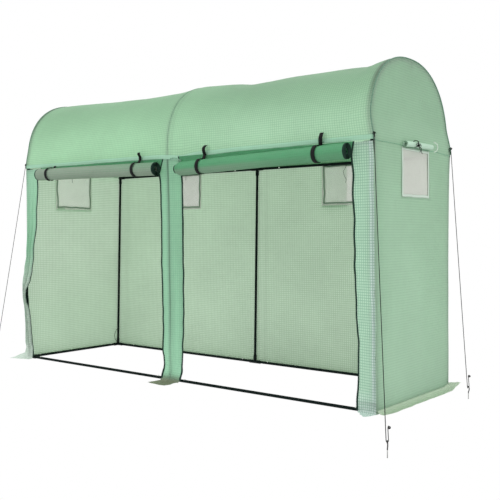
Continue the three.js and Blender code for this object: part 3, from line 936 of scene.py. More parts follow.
roof = {
    "cells": (160, 96),
    "ripple": 0.004,
    "rippleScale": (2.2, 3.5),
    "narrow": 0.008,
    "bowReach": 0.06,
    "seed": 4.0,
    "overlap": 0.001,
    "hemDrop": 0.004,
    "hemWave": 0.004,
    "hemSeed": 9.0,
    "hemDip": 0.022,
    "dipPlace": (0.12, 0.1),
    "hemReach": 0.12,
    "hemWidth": 0.028,
    "hemCells": (120, 4),
    "hemProud": 0.0015,
    "seamProud": 0.0008,
    "seamRadius": 0.0011,
    "pipingProud": 0.001,
    "pipingRadius": 0.0032,
    # painted shade: a dark band over each end bow, where its shadow shows through the cloth, and a darker
    # right half, both stronger towards the crown
    "high": (0.06, 0.5),
    "gableShadow": (1.493, 0.016),
    "bay": (0.0, 0.5),
    "base": 1.065,
    # painted shade: darker towards the crown, along the middle bow's shadow and a line beside it, and along
    # both hems
    "tones": [
        (-0.35, "up", easeIn, 0.06, 0.5),
        (-0.10, "across", bump, 0.0, 0.006),
        (-0.08, "across", bump, 0.035, 0.006),
        (0.10, "up", easeIn, 0.0, 0.028),
    ],
    # painted light: the roof paler towards its hems, more so on the right
    "paleAcross": (-0.2, 0.8),
    "paleUp": (0.05, 0.5),
}


def hemDrop(x):
    # the hem is pulled down where the middle strip's loop ties it
    wave = roof["hemWave"] * ripple(x, 0, roof["hemSeed"], (4.0, 1.0))
    ends = roof["hemDrop"] - 3 * roof["hemDrop"] * abs(x / house["halfLength"])
    return ends + wave + roof["hemDip"] * bump(x, *roof["dipPlace"])


def roofPlace(s, t, proud=0.0):
    y, z, normal = archAt(min(max(t, 0.0), archLength))
    height = max(z - house["legTop"], 0.0) / (house["apex"] - house["legTop"])
    bay = abs(math.sin(math.pi * s / house["frameX"])) ** 1.4
    loose = (1 - max(bump(s, x, roof["bowReach"]) for x in bowPlaces.values())) * (0.3 + 0.7 * height)
    push = proud + roof["ripple"] * loose * ripple(s, t, roof["seed"], roof["rippleScale"], 3)
    z += ridgeRise(s) * height
    y *= 1 - roof["narrow"] * bay * height
    if t < archLength / 2:
        z -= hemDrop(s) * easeOut(t, 0.0, roof["hemReach"])
    x = s * (house["halfLength"] + roof["overlap"] - gableLean(z)) / house["halfLength"]
    return Vector((x, y + normal[0] * push, z + normal[1] * push))


def roofShade(s, t):
    edge = min(t, archLength - t)
    high = easeIn(edge, *roof["high"])
    gableShadow = 0.52 * bump(abs(s), *roof["gableShadow"]) * (0.3 + 0.7 * high)
    bay = 0.10 * easeIn(s, *roof["bay"]) * (0.4 + 0.6 * high)
    return toned(roof, s, edge) - gableShadow - bay


def roofPaintedLight(s, t):
    return (0.12 + 0.18 * easeIn(s, *roof["paleAcross"])) * easeOut(min(t, archLength - t), *roof["paleUp"])


def makeRoof():
    half, band = house["halfLength"], roof["hemWidth"]
    bm = cutSheet((-half, 0), (half, archLength), roof["cells"])
    piece = clothPiece("roofSheet", bm, roofPlace, (0, 0, 1), cloths["roof"], node="cover_roof",
                       looks={"shade": roofShade, "stain_and_light": roofPaintedLight})
    for (row, side), start in zip(rows.items(), (0.0, archLength - band)):
        bm = cutSheet((-half, start), (half, start + band), roof["hemCells"])
        clothPiece(row + "Hem", bm, lambda s, t: roofPlace(s, t, roof["hemProud"]), (0, side, 0),
                               cloths["hem"], thickness=house["sheet"])
    # a seam thread over the middle bow, partly the real seam and partly the painted shadow of the bow through
    # the cloth, with the roof's darker stripe there
    seam = [roofPlace(0.0, archLength * k / 96, roof["seamProud"]) for k in range(3, 94)]
    tubePiece("middleBowSeamAndShadow", seam, roof["seamRadius"], seamThread, "cover_sheet", 6)
    for end, sign in halves.items():
        line = [roofPlace(sign * half, archLength * k / 120, roof["pipingProud"]) for k in range(121)]
        tubePiece(end + "GablePiping", line, roof["pipingRadius"], pipingTape, "cover_sheet", 10)
    print("roof made")


makeRoof()


# Windows: where they are, and the flat frame of each wall

windows = {
    "width": 0.37,
    "bottom": 1.209,
    "top": 1.48,
    "rightEndTop": 1.493,
    "tape": 0.015,
    "insideTape": 0.010,
    "tapeLap": 0.002,
    "rightEnd": 0.009,
    "leftEnd": -0.025,
    "rear": 0.76,
}


def windowHole(middle, top=windows["top"]):
    return (middle - windows["width"] / 2, windows["bottom"]), (middle + windows["width"] / 2, top)


# Rear wall

rearWall = {
    "cells": (150, 70),
    "low": (-1.4975, 0.003),
    "high": (1.4975, house["hem"] - 0.0005),
    "ripple": 0.005,
    "rippleScale": (3.0, 1.3),
    "seed": 21.0,
    "foot": (0.0, 0.25),
    "held": (1.2, 1.49),
    # painted light and shade on the rear wall: darker at the foot, a little lighter high up, a shadow beside
    # the middle post, a darker stripe near the left end and darker towards the right
    "base": 0.90,
    "tones": [
        (0.10, "up", easeIn, 0.0, 0.5),
        (0.03, "up", easeIn, 0.9, 1.4),
        (-0.07, "across", bump, 0.085, 0.012),
        (-0.05, "across", bump, -1.40, 0.03),
        (-0.08, "across", easeIn, -0.9, 0.4),
    ],
}


def rearPlace(s, z):
    loose = 0.25 + easeIn(z, *rearWall["foot"]) * easeOut(z, *rearWall["held"])
    push = rearWall["ripple"] * loose * ripple(s, z, rearWall["seed"], rearWall["rippleScale"], 3)
    pinch = rearPinch(z) * bump(s, house["halfLength"], house["pinchReach"])
    return Vector((s, wallY(z) - pinch + push, z))


def makeRearWall():
    low, high = rearWall["low"], rearWall["high"]
    holes = [windowHole(windows["rear"]), windowHole(-windows["rear"])]
    bm = cutSheet(low, high, rearWall["cells"], holes=holes)
    piece = clothPiece("rearWallSheet", bm, rearPlace, (0, 1, 0), cloths["wall"], node="cover_rear_wall",
                       looks={"shade": lambda s, z: toned(rearWall, s, z)})
    print("rear wall made")


makeRearWall()


# End walls: a rectangle below the roof's edge and the arch above it

# painted shade on both end walls: a darker line just under the eave seam and darker towards the front and
# rear edges
seamMark = {"below": 0.002, "reach": 0.006}
seamTone = (-0.05, "up", bump, house["hem"] - seamMark["below"], seamMark["reach"])
rimTone = (-0.05, "aside", easeIn, 0.44, 0.53)
endWall = {
    "columns": 56,
    "rowsBelow": 60,
    "rowsAbove": 36,
    "ripple": 0.006,
    "rippleScale": (2.4, 1.6),
    "foot": (0.0, 0.2),
    "crown": 0.12,
    "windowCalm": (0.02, 0.06),
    "bulge": 0.004,
    "bulgeUp": (1.05, 0.2),
    "bulgeAcross": (-0.5, 0.12),
    "seamHalf": 0.525,
    "seamSteps": 60,
    "seamWave": 0.008,
    "seamTilt": 0.012,
    "seamProud": 0.001,
    "seamRadius": 0.0022,
    # painted light and shade: both ends darker towards the foot; the left end lighter and paler in its upper
    # part below the roof's edge, the right end darker high in its arch
    "paleUp": (0.2, 1.0),
    "paleTop": (1.42, 1.5),
    "left": {
        "seed": 33.0,
        "window": windowHole(windows["leftEnd"]),
        "cloth": "wall",
        "paintedLight": 0.34,
        "base": 0.95,
        "tones": [(0.05, "up", easeIn, 0.0, 0.25), (0.03, "up", easeIn, 0.5, 1.1), seamTone, rimTone],
    },
    "right": {
        "seed": 47.0,
        "window": windowHole(windows["rightEnd"], windows["rightEndTop"]),
        "cloth": "endWall",
        "paintedLight": 0.0,
        "base": 0.89,
        "tones": [(0.05, "up", easeIn, 0.0, 0.25), (0.06, "up", easeIn, 0.1, 0.8),
                  (-0.05, "up", easeIn, 1.5, 1.8), seamTone, rimTone],
    },
}


def endOutline(side):
    # rows of the end wall, from the ground to the crown, each with its reach to the front and to the rear
    rise = ridgeRise(side * house["halfLength"])
    height = house["apex"] - house["legTop"] + rise
    power = house["rearFullness"]
    outline = []
    for k in range(endWall["rowsBelow"] + 1):
        z = house["hem"] * k / endWall["rowsBelow"]
        outline.append((z, wallY(z), wallY(z) - (rearPinch(z) if side > 0 else 0)))
    for k in range(endWall["rowsAbove"] + 1):
        y, z = archSpot(math.pi / 2 * k / endWall["rowsAbove"], 0.0, rise)
        share = min((z - house["legTop"]) / height, 1.0)
        outline.append((z, -y, house["wallTop"] * max(1 - share ** power, 0.0) ** (1 / power)))
    return outline


def endPlace(side, seed, y, z, proud=0.0):
    loose = (1 - min(abs(y) / house["wallTop"], 1.0) ** 6) * easeIn(z, *endWall["foot"])
    loose *= easeOut(z, house["apex"] - endWall["crown"], house["apex"])
    above, reach = endWall["windowCalm"]
    loose *= 1 - bump(z, windows["top"] + above, reach)
    push = endWall["ripple"] * loose * ripple(y, z, seed, endWall["rippleScale"], 3)
    if side < 0:
        bulge = cornerBow(z) + endWall["bulge"] * bump(z, *endWall["bulgeUp"])
        push += bulge * bump(y, *endWall["bulgeAcross"])
    return Vector((side * (house["halfLength"] - gableLean(z) + push + proud), y, z))


def makeEndWall(end, side):
    look, outline = endWall[end], endOutline(side)
    bm = cutSheet((-1.0, 0.0), (1.0, float(len(outline) - 1)), (endWall["columns"], len(outline) - 1))
    for vert in bm.verts:
        z, front, rear = outline[int(round(vert.co.y))]
        vert.co.x, vert.co.y = vert.co.x * (rear if vert.co.x > 0 else front), z
    bmesh.ops.remove_doubles(bm, verts=bm.verts[:], dist=1e-5)
    cutOpen(bm, [], [look["window"]])
    area = sum(face.calc_area() for face in bm.faces)
    looks = {
        "shade": lambda y, z: toned(look, y, z),
        "stain_and_light": lambda y, z: look["paintedLight"] * easeIn(z, *endWall["paleUp"]) * easeOut(z, *endWall["paleTop"]),
    }
    piece = clothPiece(end + "EndSheet", bm, lambda y, z: endPlace(side, look["seed"], y, z), (side, 0, 0),
                       cloths[look["cloth"]], node="cover_" + end + "_end", looks=looks)
    line = []
    for k in range(endWall["seamSteps"] + 1):
        y = endWall["seamHalf"] * (2 * k / endWall["seamSteps"] - 1)
        z = house["hem"] + endWall["seamWave"] * ripple(y, side, 5.0, (4.0, 1.0)) - endWall["seamTilt"] * y
        line.append(endPlace(side, look["seed"], y, z, endWall["seamProud"]))
    seam = tubePiece(end + "EndSeam", line, endWall["seamRadius"], seamThread, "cover_sheet", 6)
    print(end, "end wall made")


for endName, endSign in halves.items():
    makeEndWall(endName, endSign)


# Skirts: a band of the cover that lies on the ground outside each wall. Start is the first corner at the
# wall, along its direction, away points off the wall. Curl tells how far it lifts, and a round end reaches
# behind the corner

skirts = {
    "seat": 0.0012,
    "corner": 0.5,
    "lift": 0.008,
    "cell": 0.02,
    "fold": 0.02,
    "taperReach": 0.06,
    "calm": (0.15, 0.4),
    "behind": (0.985, 1.01),
    "seed": 61.0,
    "rightSkirt": {
        "node": "cover_right_end", "size": (1.12, 0.058), "away": (1, 0, 0), "start": (1.499, -0.49, 0),
        "along": (0, 1, 0), "taper": (0.3, 0.0), "roundEnd": 0.08,
        "curl": [(0.90, 0.0), (0.99, 0.020), (1.05, 0.032), (1.12, 0.020)],
    },
    "leftSkirt": {
        "node": "cover_left_end", "size": (0.98, 0.058), "away": (-1, 0, 0), "start": (-1.499, 0.5, 0),
        "along": (0, -1, 0), "taper": (0.2, 0.4), "roundEnd": 0.0, "curl": [(0, 0)],
    },
    "rearSkirt": {
        "node": "cover_rear_wall", "size": (2.997, 0.12), "away": (0, 1, 0), "start": (1.4975, 0.4995, 0),
        "along": (-1, 0, 0), "taper": (0.0, 0.3), "roundEnd": 0.0, "curl": [(0, 0)],
    },
}


def makeSkirt(name):
    look = skirts[name]
    (length, width), roundEnd = look["size"], look["roundEnd"]
    start, along, away = Vector(look["start"]), Vector(look["along"]), Vector(look["away"])
    bm = cutSheet((0, 0), (length, 1), (int(length / skirts["cell"]), 8))

    def reach(s):
        soft = width * (1 + 0.16 * ripple(s, 0, skirts["seed"], (5.0, 1.0), 3))
        for taper, end in zip(look["taper"], (0, length)):
            soft *= 1 - taper * bump(s, end, skirts["taperReach"])
        past = max(s - (length - roundEnd), 0.0) / roundEnd if roundEnd else 0.0
        return soft * max(math.sqrt(max(1 - past ** 2, 0.0)), 0.08)

    def place(s, t):
        wide = reach(s)
        behind = easeIn(s, *skirts["behind"]) * wide * 1.3 if roundEnd else 0.0
        point = start + along * s + away * (wide * t - behind * (1 - t))
        fold = 0.0 if away.x and abs(point.y) >= skirts["corner"] else skirts["fold"] * (1 - t) ** 3
        calm = easeIn(s, *skirts["calm"]) if away.y else 1.0
        wave = calm * skirts["lift"] * t * (0.5 + 0.5 * ripple(s, t, skirts["seed"] + 3, (9.0, 2.0)))
        curl = between(look["curl"], s) * (0.6 + 0.4 * t)
        point.z = skirts["seat"] + fold + max(wave, 0) * (1 - 0.5 * t) + curl
        return point

    # the skirt turns a little towards its olive colour away from the wall
    piece = clothPiece(name, bm, place, (0, 0, 1), cloths["skirt"], thickness=house["sheet"],
                       node=look["node"],
                       looks={"flat": lambda s, t: (s, t * width), "stain_and_light": lambda s, t: 0.12 * t})


for skirtName in ("rightSkirt", "leftSkirt", "rearSkirt"):
    makeSkirt(skirtName)
print("skirts made")


# Front strips beside the doors: cloth that bends forward into a foot flap, with a zip along each free edge

strips = {
    "top": 1.4985,
    "flapRows": 0.12,
    "toothPitch": 0.004,
    "tooth": (0.0036, 0.0016, 0.0018),
    "toothDepth": 0.0006,
    "zipProud": 0.0008,
    "zipPitch": 0.01,
    "bendFlap": 0.05,
    "wave": 0.006,
    "waveFrom": (0.05, 0.2),
    "free": (0.04, 0.14),
    "held": (1.3, 1.45),
    "foldDepth": 0.02,
    "foldReach": 0.1,
    "ripple": 0.003,
    "lift": 0.006,
    "liftReach": 0.05,
    "sink": (0.0, 0.03),
    "seat": 0.0014,
    "tentPlace": (0.022, 0.028),
    "tentFrom": (0.003, 0.02),
    "left": {
        "node": "cover_front_left_strip",
        "cloth": "leftStrip",
        "footBend": 0.028,
        "tent": 0.030,
        "cut": 0.145,
        "cells": (42, 120),
        "waves": 3,
        "inner": [(0.03, -1.438), (0.07, -1.446), (0.15, -1.460), (0.23, -1.469), (0.30, -1.477),
                  (0.37, -1.484), (0.41, -1.497), (0.45, -1.520), (0.50, -1.530), (0.54, -1.524),
                  (0.58, -1.500), (0.62, -1.475), (0.70, -1.449), (0.82, -1.425), (1.10, -1.382),
                  (1.40, -1.358), (1.50, -1.356)],
        "outer": [(0.0, -1.540), (0.05, -1.538), (0.10, -1.529), (0.28, -1.5195), (0.35, -1.522),
                  (0.42, -1.527), (0.50, -1.541), (0.60, -1.550), (0.70, -1.534), (0.84, -1.506),
                  (0.92, -1.4985), (1.50, -1.4985)],
        "flap": [(0.0, 0.105), (0.35, 0.085), (1.0, 0.045)],
        "flare": [(0.0, -0.085), (0.5, -0.04), (1.0, -0.005)],
        "fold": None,
        "zips": {"right": 1.0},
        "zipWidth": 0.014,
        "seed": 3.0,
        "dark": (0.6, 1.2),
        "stain_and_light_reach": (0.55, 0.95),
    },
    "middle": {
        "node": "cover_front_middle_strip",
        "cloth": "strip",
        "footBend": 0.02,
        "tent": 0.0,
        "cut": 0.20,
        "cells": (16, 120),
        "waves": 0,
        "inner": [(0.0, 0.086), (0.03, 0.094), (0.07, 0.102), (0.12, 0.094), (0.21, 0.100),
                  (0.35, 0.106), (0.60, 0.109), (1.0, 0.114), (1.50, 0.112)],
        "outer": [(0.0, -0.070), (0.03, -0.066), (0.10, -0.054), (0.15, -0.062), (0.20, -0.073),
                  (0.30, -0.068), (0.45, -0.068), (0.84, -0.073), (1.2, -0.071), (1.50, -0.080)],
        "flap": [(0.0, 0.130), (0.3, 0.144), (0.7, 0.152), (0.93, 0.146), (1.0, 0.10)],
        "flare": [(0.0, -0.018), (0.5, 0.0), (1.0, 0.0)],
        "fold": 0.011,
        "foldShare": 0.083 / 0.19,
        "zips": {"left": 0.0, "right": 1.0},
        "zipWidth": 0.015,
        "seed": 13.0,
        "foot": (0.05, 0.45),
        "crease": (0.05, 0.6),
        "stain_and_light_reach": (-0.01, 0.06),
    },
    "right": {
        "node": "cover_front_right_strip",
        "cloth": "rightStrip",
        "footBend": 0.022,
        "tent": 0.0,
        "cut": 0.135,
        "cells": (16, 120),
        "waves": 0,
        "inner": [(0.0, 1.388), (0.10, 1.384), (0.20, 1.386), (0.34, 1.392), (0.55, 1.379),
                  (0.83, 1.370), (1.33, 1.366), (1.5, 1.366)],
        "outer": [(0.0, 1.4995), (1.50, 1.4985)],
        "flap": [(0.0, 0.004), (0.15, 0.014), (0.4, 0.052), (0.74, 0.088), (0.88, 0.064), (1.0, 0.008)],
        "flare": [(0.0, 0.0), (1.0, 0.0)],
        "fold": 1.474,
        "zips": {"left": 0.0},
        "zipWidth": 0.011,
        "seed": 29.0,
        # painted shade: darker stripes at the edges of the fold's painted highlight, darker over the foot and
        # a dark crease about 5 cm up
        "base": 0.86,
        "tones": [
            (-0.12, "across", bump, 0.72, 0.03),
            (-0.10, "across", bump, 0.97, 0.03),
            (0.14, "up", easeIn, 0.0, 0.1),
            (-0.22, "up", bump, 0.055, 0.012),
        ],
        "stain_and_light_reach": (0.0, 0.14),
    },
}


def softBend(value, reach):
    # 0 on one side and the value itself on the other, with a soft turn between
    share = value / reach
    return value if share > 30 else reach * math.log1p(math.exp(share))


def stripPlace(look, s, t, proud=0.0):
    # s runs from 0 at the left edge to 1 at the right one, t from the flap's tip up to the roof's edge
    flap, seed = between(look["flap"], s), look["seed"]
    along = t * flap / strips["flapRows"] if t < 0 else t
    bend = look["footBend"] * min(flap / strips["bendFlap"], 1.0)
    z, out = softBend(along, bend), softBend(-along, bend)
    low, high = sorted((between(look["inner"], z), between(look["outer"], z)))
    wave = strips["wave"] * easeIn(z, *strips["waveFrom"]) * ripple(z, s, seed, (7.0, 0.6)) * abs(2 * s - 1)
    x = low + (high - low) * s + wave + between(look["flare"], s) * min(out / max(flap, 1e-6), 1.0)
    free = easeIn(z, *strips["free"]) * easeOut(z, *strips["held"])
    y = wallY(z) + out + proud
    if look["fold"] is not None:
        y -= strips["foldDepth"] * free * min(abs(x - look["fold"]) / strips["foldReach"], 1.0)
    if look["waves"]:
        depth = math.sqrt(max(look["cut"] ** 2 - (high - low) ** 2, 0.0)) / (2 * look["waves"])
        y += free * depth * (0.5 - 0.5 * math.cos(2 * math.pi * look["waves"] * s))
    y += free * strips["ripple"] * ripple(x * 2, z, seed, (4.0, 1.5), 3)
    lift = strips["lift"] * min(out / strips["liftReach"], 1.0)
    lift *= 0.5 + ripple(x, out, seed + 2, (16.0, 9.0))
    lift *= easeOut(out, 0.6 * flap, flap)
    tent = look["tent"] * bump(out, *strips["tentPlace"]) * easeIn(out, *strips["tentFrom"])
    lift += tent * easeOut(s, 0.1, 0.7)
    z = max(z - softBend(0, bend) * easeIn(out, *strips["sink"]), strips["seat"]) + max(lift, 0.0)
    return Vector((x, -y, z))


def makeZip(name, look, edge, s):
    count = int(strips["top"] / strips["zipPitch"]) + 1
    line = [stripPlace(look, s, t * strips["zipPitch"], strips["zipProud"]) for t in range(1, count)]
    lengths = pathLengths(line)
    outward = (2 * s - 1) * look["zipWidth"] / 2
    teeth = bmesh.new()
    for k in range(int(lengths[-1] / strips["toothPitch"])):
        point = onPath(line, lengths, k * strips["toothPitch"]) + Vector((outward, -strips["toothDepth"], 0))
        spot = Matrix.Translation(point) @ Matrix.Diagonal((*strips["tooth"], 1))
        bmesh.ops.create_cube(teeth, size=1.0, matrix=spot)
    band = bandGrid(line, Vector((1, 0, 0)), look["zipWidth"], 140)
    return finishPiece(f"{name}Strip_{edge}Zip", joinGrids([band, teeth]), trimTape, "webbing")


def makeStrip(name, shade, stain_and_light):
    look = strips[name]
    bm = cutSheet((0, -strips["flapRows"]), (1, strips["top"]), look["cells"])

    def flat(s, t):
        return s * look["cut"], t * between(look["flap"], s) / strips["flapRows"] if t < 0 else t

    piece = clothPiece(name + "Strip", bm, lambda s, t: stripPlace(look, s, t), (0, -1, 0),
                       cloths[look["cloth"]], node=look["node"],
                       looks={"shade": shade, "stain_and_light": stain_and_light, "flat": flat})
    zips = [makeZip(name, look, edge, s) for edge, s in look["zips"].items()]
    longest = max(length for share, length in look["flap"])
    print(name, "strip made")


# painted shade: darker down the middle of the strip, fading out between 0.6 and 1.2 m up
def leftStripShade(s, t):
    return 1.0 - 0.08 * bump(s, 0.55, 0.12) * easeOut(t, *strips["left"]["dark"])


# painted light: the lower part of the strip paler and greyer
def leftStripPaintedLight(s, t):
    return 0.9 * easeOut(t, *strips["left"]["stain_and_light_reach"])


# painted light and shade: the face left of the fold lighter than the one right of it, which darkens towards
# its right edge, a dark line in the fold, and lighter towards the foot; the streaks are random
def middleStripShade(s, t):
    look = strips["middle"]
    fold = look["foldShare"]
    streaks = 0.07 * ripple(s * 4, t, 21.0, (4.0, 1.2), 3)
    side = 0.93 + 0.06 * bump(s, 0.5 * fold, 0.08) if s < fold else 0.88 - 0.08 * easeIn(s, 0.7, 1.0)
    foot = 0.14 * easeOut(t, *look["foot"])
    return side + foot + streaks - (0.42 * easeIn(t, *look["crease"]) + 0.16) * bump(s, fold + 0.01, 0.02)


def middleStripStain(s, t):
    return easeOut(t, *strips["middle"]["stain_and_light_reach"])


def rightStripShade(s, t):
    return toned(strips["right"], s, t)


# painted highlight along the fold, and the foot paler
def rightStripPaintedLight(s, t):
    fold = 0.75 * easeIn(s, 0.74, 0.84) * easeOut(s, 0.93, 0.99)
    return max(fold, 0.7 * easeOut(t, *strips["right"]["stain_and_light_reach"]))


makeStrip("left", leftStripShade, leftStripPaintedLight)
makeStrip("middle", middleStripShade, middleStripStain)
makeStrip("right", rightStripShade, rightStripPaintedLight)


# Rolled cloth: a spiral of sheet, wound down its back, under and up its front

def spiralSpot(distance, look):
    # angle and radius after that length of cloth, from the outside in
    outer, slope = look["radius"], (look["radius"] - look["core"]) / (2 * math.pi * look["turns"])
    angle = (outer - math.sqrt(max(outer ** 2 - 2 * slope * distance, 0.0))) / slope
    return angle, outer - slope * angle


def spiralLength(look):
    return math.pi * look["turns"] * (look["radius"] + look["core"])


def rollPlace(look, s, t):
    # s along the roll, t along the cloth. The result is how far away from the wall and up
    angle, radius = spiralSpot(t, look)
    uneven = 1.0
    for share, run, round in ((1.0, 5, 1.6), (0.5, 26, 3)):
        spot = Vector((s * run, round * math.cos(angle), round * math.sin(angle) + look["seed"]))
        uneven += share * look["wrinkle"] * noise.noise(spot)
    radius *= uneven
    for tie in look["ties"]:
        radius *= 1 - look["pinch"] * bump(s, tie, look["pinchReach"])
    return radius * math.cos(angle), -radius * math.sin(angle)


def webFlat(drop, travel):
    # the flat pattern of cloth that unrolls: it is as long as the roll's way when the roll is at its lowest
    return lambda s, t: (s, -t - travel * easeIn(t, 0.0, drop))


# Roll-up doors

doors = {
    "cells": (110, 196),
    "curtainCells": (50, 60),
    "tape": 0.011,
    "travel": 1.38,
    "wall": -0.5312,
    "clear": 0.0006,
    "radius": 0.0468,
    "core": 0.017,
    "turns": 7,
    "wrinkle": 0.035,
    "pinch": 0.02,
    "pinchReach": 0.02,
    "endReach": 0.05,
    "darkCore": (0.3, 0.5),
    "above": 0.004,
    "below": 0.002,
    "ripple": 0.001,
    "squashed": 0.15,
    "left": {"centres": (1.449, 1.428), "grey": 0.9, "seed": 2.0, "ties": (-1.148, -0.243),
             "roll": (-1.285, -0.055), "ends": (1.0, 1.0)},
    "right": {"centres": (1.415, 1.448), "grey": 0.0, "seed": 8.0, "ties": (0.330, 1.176),
              "roll": (0.118, 1.369), "ends": (0.6, 1.0)},
}
doorBoxes = {side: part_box("door_" + side) for side in halves}


def doorCentre(side, x):
    # height of the roll's axis, which lies on a slight slope
    low, high = doorBoxes[side]
    first, last = doors[side]["centres"]
    return first + (last - first) * (x - low.x) / (high.x - low.x)


def makeDoor(side):
    low, high = doorBoxes[side]
    look = {**doors, **doors[side]}
    rollY = doors["wall"] - look["radius"] - look["clear"]
    length = spiralLength(look)
    left, right = low.x + look["tape"], high.x - look["tape"]
    first, last = look["roll"]
    wall = doors["wall"]

    def rollX(s):
        return first + (last - first) * (s - low.x) / (high.x - low.x)

    def place(s, t):
        start, end = look["ends"]
        taper = start + (1 - start) * easeIn(s, low.x, low.x + look["endReach"])
        taper -= (1 - end) * easeIn(s, high.x - look["endReach"], high.x)
        away, up = rollPlace(look, s, t)
        return Vector((rollX(s), rollY + away * taper, doorCentre(side, s) + up * taper))

    # painted shade: darker on the underside of each turn and on the roll's inner turns
    def shade(s, t):
        under = 0.10 * max(math.sin(spiralSpot(t, look)[0] - 0.4), 0.0)
        return 1.0 - under - 0.25 * easeIn(t, *look["darkCore"])

    # mixes towards the door's grey: the left roll greyer, less so on part of its turn towards its right end;
    # the right roll greyer on its lower side, less so towards its right end
    def stain_and_light(s, t):
        angle = spiralSpot(t, look)[0]
        if look["grey"]:
            return look["grey"] - 0.35 * easeIn(s, -0.75, -0.1) * max(math.cos(angle - 4.2), 0.0)
        lower = max(math.cos(angle - 2.0), 0.0)
        return min(1.0, 0.55 * easeIn(lower, 0.35, 0.85) * (1 - 0.8 * easeIn(s, 0.4, 1.1)))

    def trim(s, t):
        return int(not left < s < right)

    cloth = [cloths["door"], trimTape]
    node, body = "door_" + side, side + "_door"
    bm = cutSheet((low.x, 0), (high.x, length), look["cells"], cuts=[("x", left), ("x", right)])
    roll = clothPiece(side + "DoorRoll", bm, place, (0, 0, -1), cloth, "door_sheet", body=body, node=node,
                      thickness=house["sheet"], looks={"shade": shade, "stain_and_light": stain_and_light, "trim": trim})
    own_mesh(roll)

    top, bottom = house["hem"] + look["above"], min(look["centres"]) - look["below"]
    drop = top - bottom

    def curtainPlace(s, t):
        x = s + (rollX(s) - s) * t / drop
        return Vector((x, wall + look["ripple"] * ripple(s, t, look["seed"], (3.0, 6.0)), top - t))

    bm = cutSheet((low.x, 0), (high.x, drop), look["curtainCells"], cuts=[("x", left), ("x", right)])
    curtain = clothPiece(side + "DoorCurtain", bm, curtainPlace, (0, -1, 0), cloth, "door_sheet", rides=False,
                         node=node, looks={"flat": webFlat(drop, look["travel"]), "trim": trim})
    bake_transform(curtain)
    print(side, "door made")


for doorSide in halves:
    makeDoor(doorSide)


# Straps that hold the rolled doors: a tail over the roof's hem and most of a turn round the roll

straps = {
    "width": 0.025,
    "thickness": 0.0015,
    "loop": 0.0496,
    "loopAngles": (62, 350),
    "loopSteps": 40,
    "cells": 90,
    "off": 0.002,
    "door_strap_left_a": {
        "lean": 0.006,
        "tail": [(0.006, 1.498), (0.004, 1.510)],
    },
    "door_strap_left_b": {
        "lean": 0.016,
        "tail": [(0.006, 1.500), (0.012, 1.522), (0.030, 1.536), (0.034, 1.549)],
    },
    "door_strap_right_a": {
        "lean": 0.010,
        "tail": [(0.006, 1.500), (0.022, 1.520), (0.026, 1.540), (0.010, 1.558)],
    },
    "door_strap_right_b": {
        "lean": 0.012,
        "tail": [(0.006, 1.500), (0.016, 1.520), (0.020, 1.542), (0.012, 1.566)],
    },
}


def makeStrap(node, side, x):
    look = straps[node]
    centre = Vector((x, doors["wall"] - doors["radius"] - doors["clear"], doorCentre(side, x)))
    tail = [Vector((x + look["lean"] * (1 - k / 3), -house["wallTop"] - straps["off"] - out, z))
            for k, (out, z) in enumerate(reversed(look["tail"]))]
    line = smoothPath(tail, 6)
    first, last = straps["loopAngles"]
    for k in range(straps["loopSteps"] + 1):
        angle = math.radians(first + (last - first) * k / straps["loopSteps"])
        line.append(centre + Vector((0, math.cos(angle), math.sin(angle))) * straps["loop"])
    band = bandGrid(line, Vector((1, 0, 0)), straps["width"], straps["cells"])
    strap = finishPiece(node.replace("door_strap", "strap") + "_webbing", band, blackWebbing, "webbing",
                        thickness=straps["thickness"], node=node)
    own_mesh(strap)


for doorSide in halves:
    for mark, strapX in zip("ab", doors[doorSide]["ties"]):
        makeStrap(f"door_strap_{doorSide}_{mark}", doorSide, strapX)
print("straps made")


# Windows: net, binding tape and flap

windowLook = {
    "net": 0.014,
    "netCells": (20, 16),
    "netIn": 0.0035,
    "netRipple": 0.002,
    "tapeCells": (40, 30),
    "tapePull": 0.009,
    "tapeSag": 0.0035,
    "tapes": {"outside": (1, 0.0012, "paleTape", windows["tape"]),
              "inside": (-1, -0.0062, "darkTape", windows["insideTape"])},
    "hinge": 0.010,
    "flap": (0.40, 0.315),
    "flapCells": (40, 26),
    "flapTop": 1.499,
    "flapHem": 0.012,
    "flapAway": 0.0045,
    "flapLoose": 0.005,
    "looseReach": 0.1,
    "foldAway": 0.004,
    "foldBulge": 0.01,
    "foldPlace": (-0.12, 0.08),
}


def wallFrame(origin, along, outward, shade, seed, top=windows["top"]):
    # each window's wall as an origin on its outside, a direction along it and one away from it, with the
    # painted light and shade of its net
    return {"origin": Vector(origin), "along": Vector(along), "outward": Vector(outward), "shade": shade,
            "seed": seed, "top": top}


wallFrames = {
    "right_end": wallFrame((1.5, windows["rightEnd"], 0), (0, 1, 0), (1, 0, 0), 0.97, 3.0,
                           windows["rightEndTop"]),
    "left_end": wallFrame((-1.5, windows["leftEnd"], 0), (0, -1, 0), (-1, 0, 0), 1.17, 7.0),
    "rear_left": wallFrame((-windows["rear"], 0, 0), (-1, 0, 0), (0, 1, 0), 0.94, 12.0),
    "rear_right": wallFrame((windows["rear"], 0, 0), (-1, 0, 0), (0, 1, 0), 1.05, 17.0),
}


def onWall(key, s, z, away):
    wall = wallFrames[key]
    lean = wallY(z) if key.startswith("rear") else 0.0
    return wall["origin"] + wall["along"] * s + wall["outward"] * (away + lean) + Vector((0, 0, z))


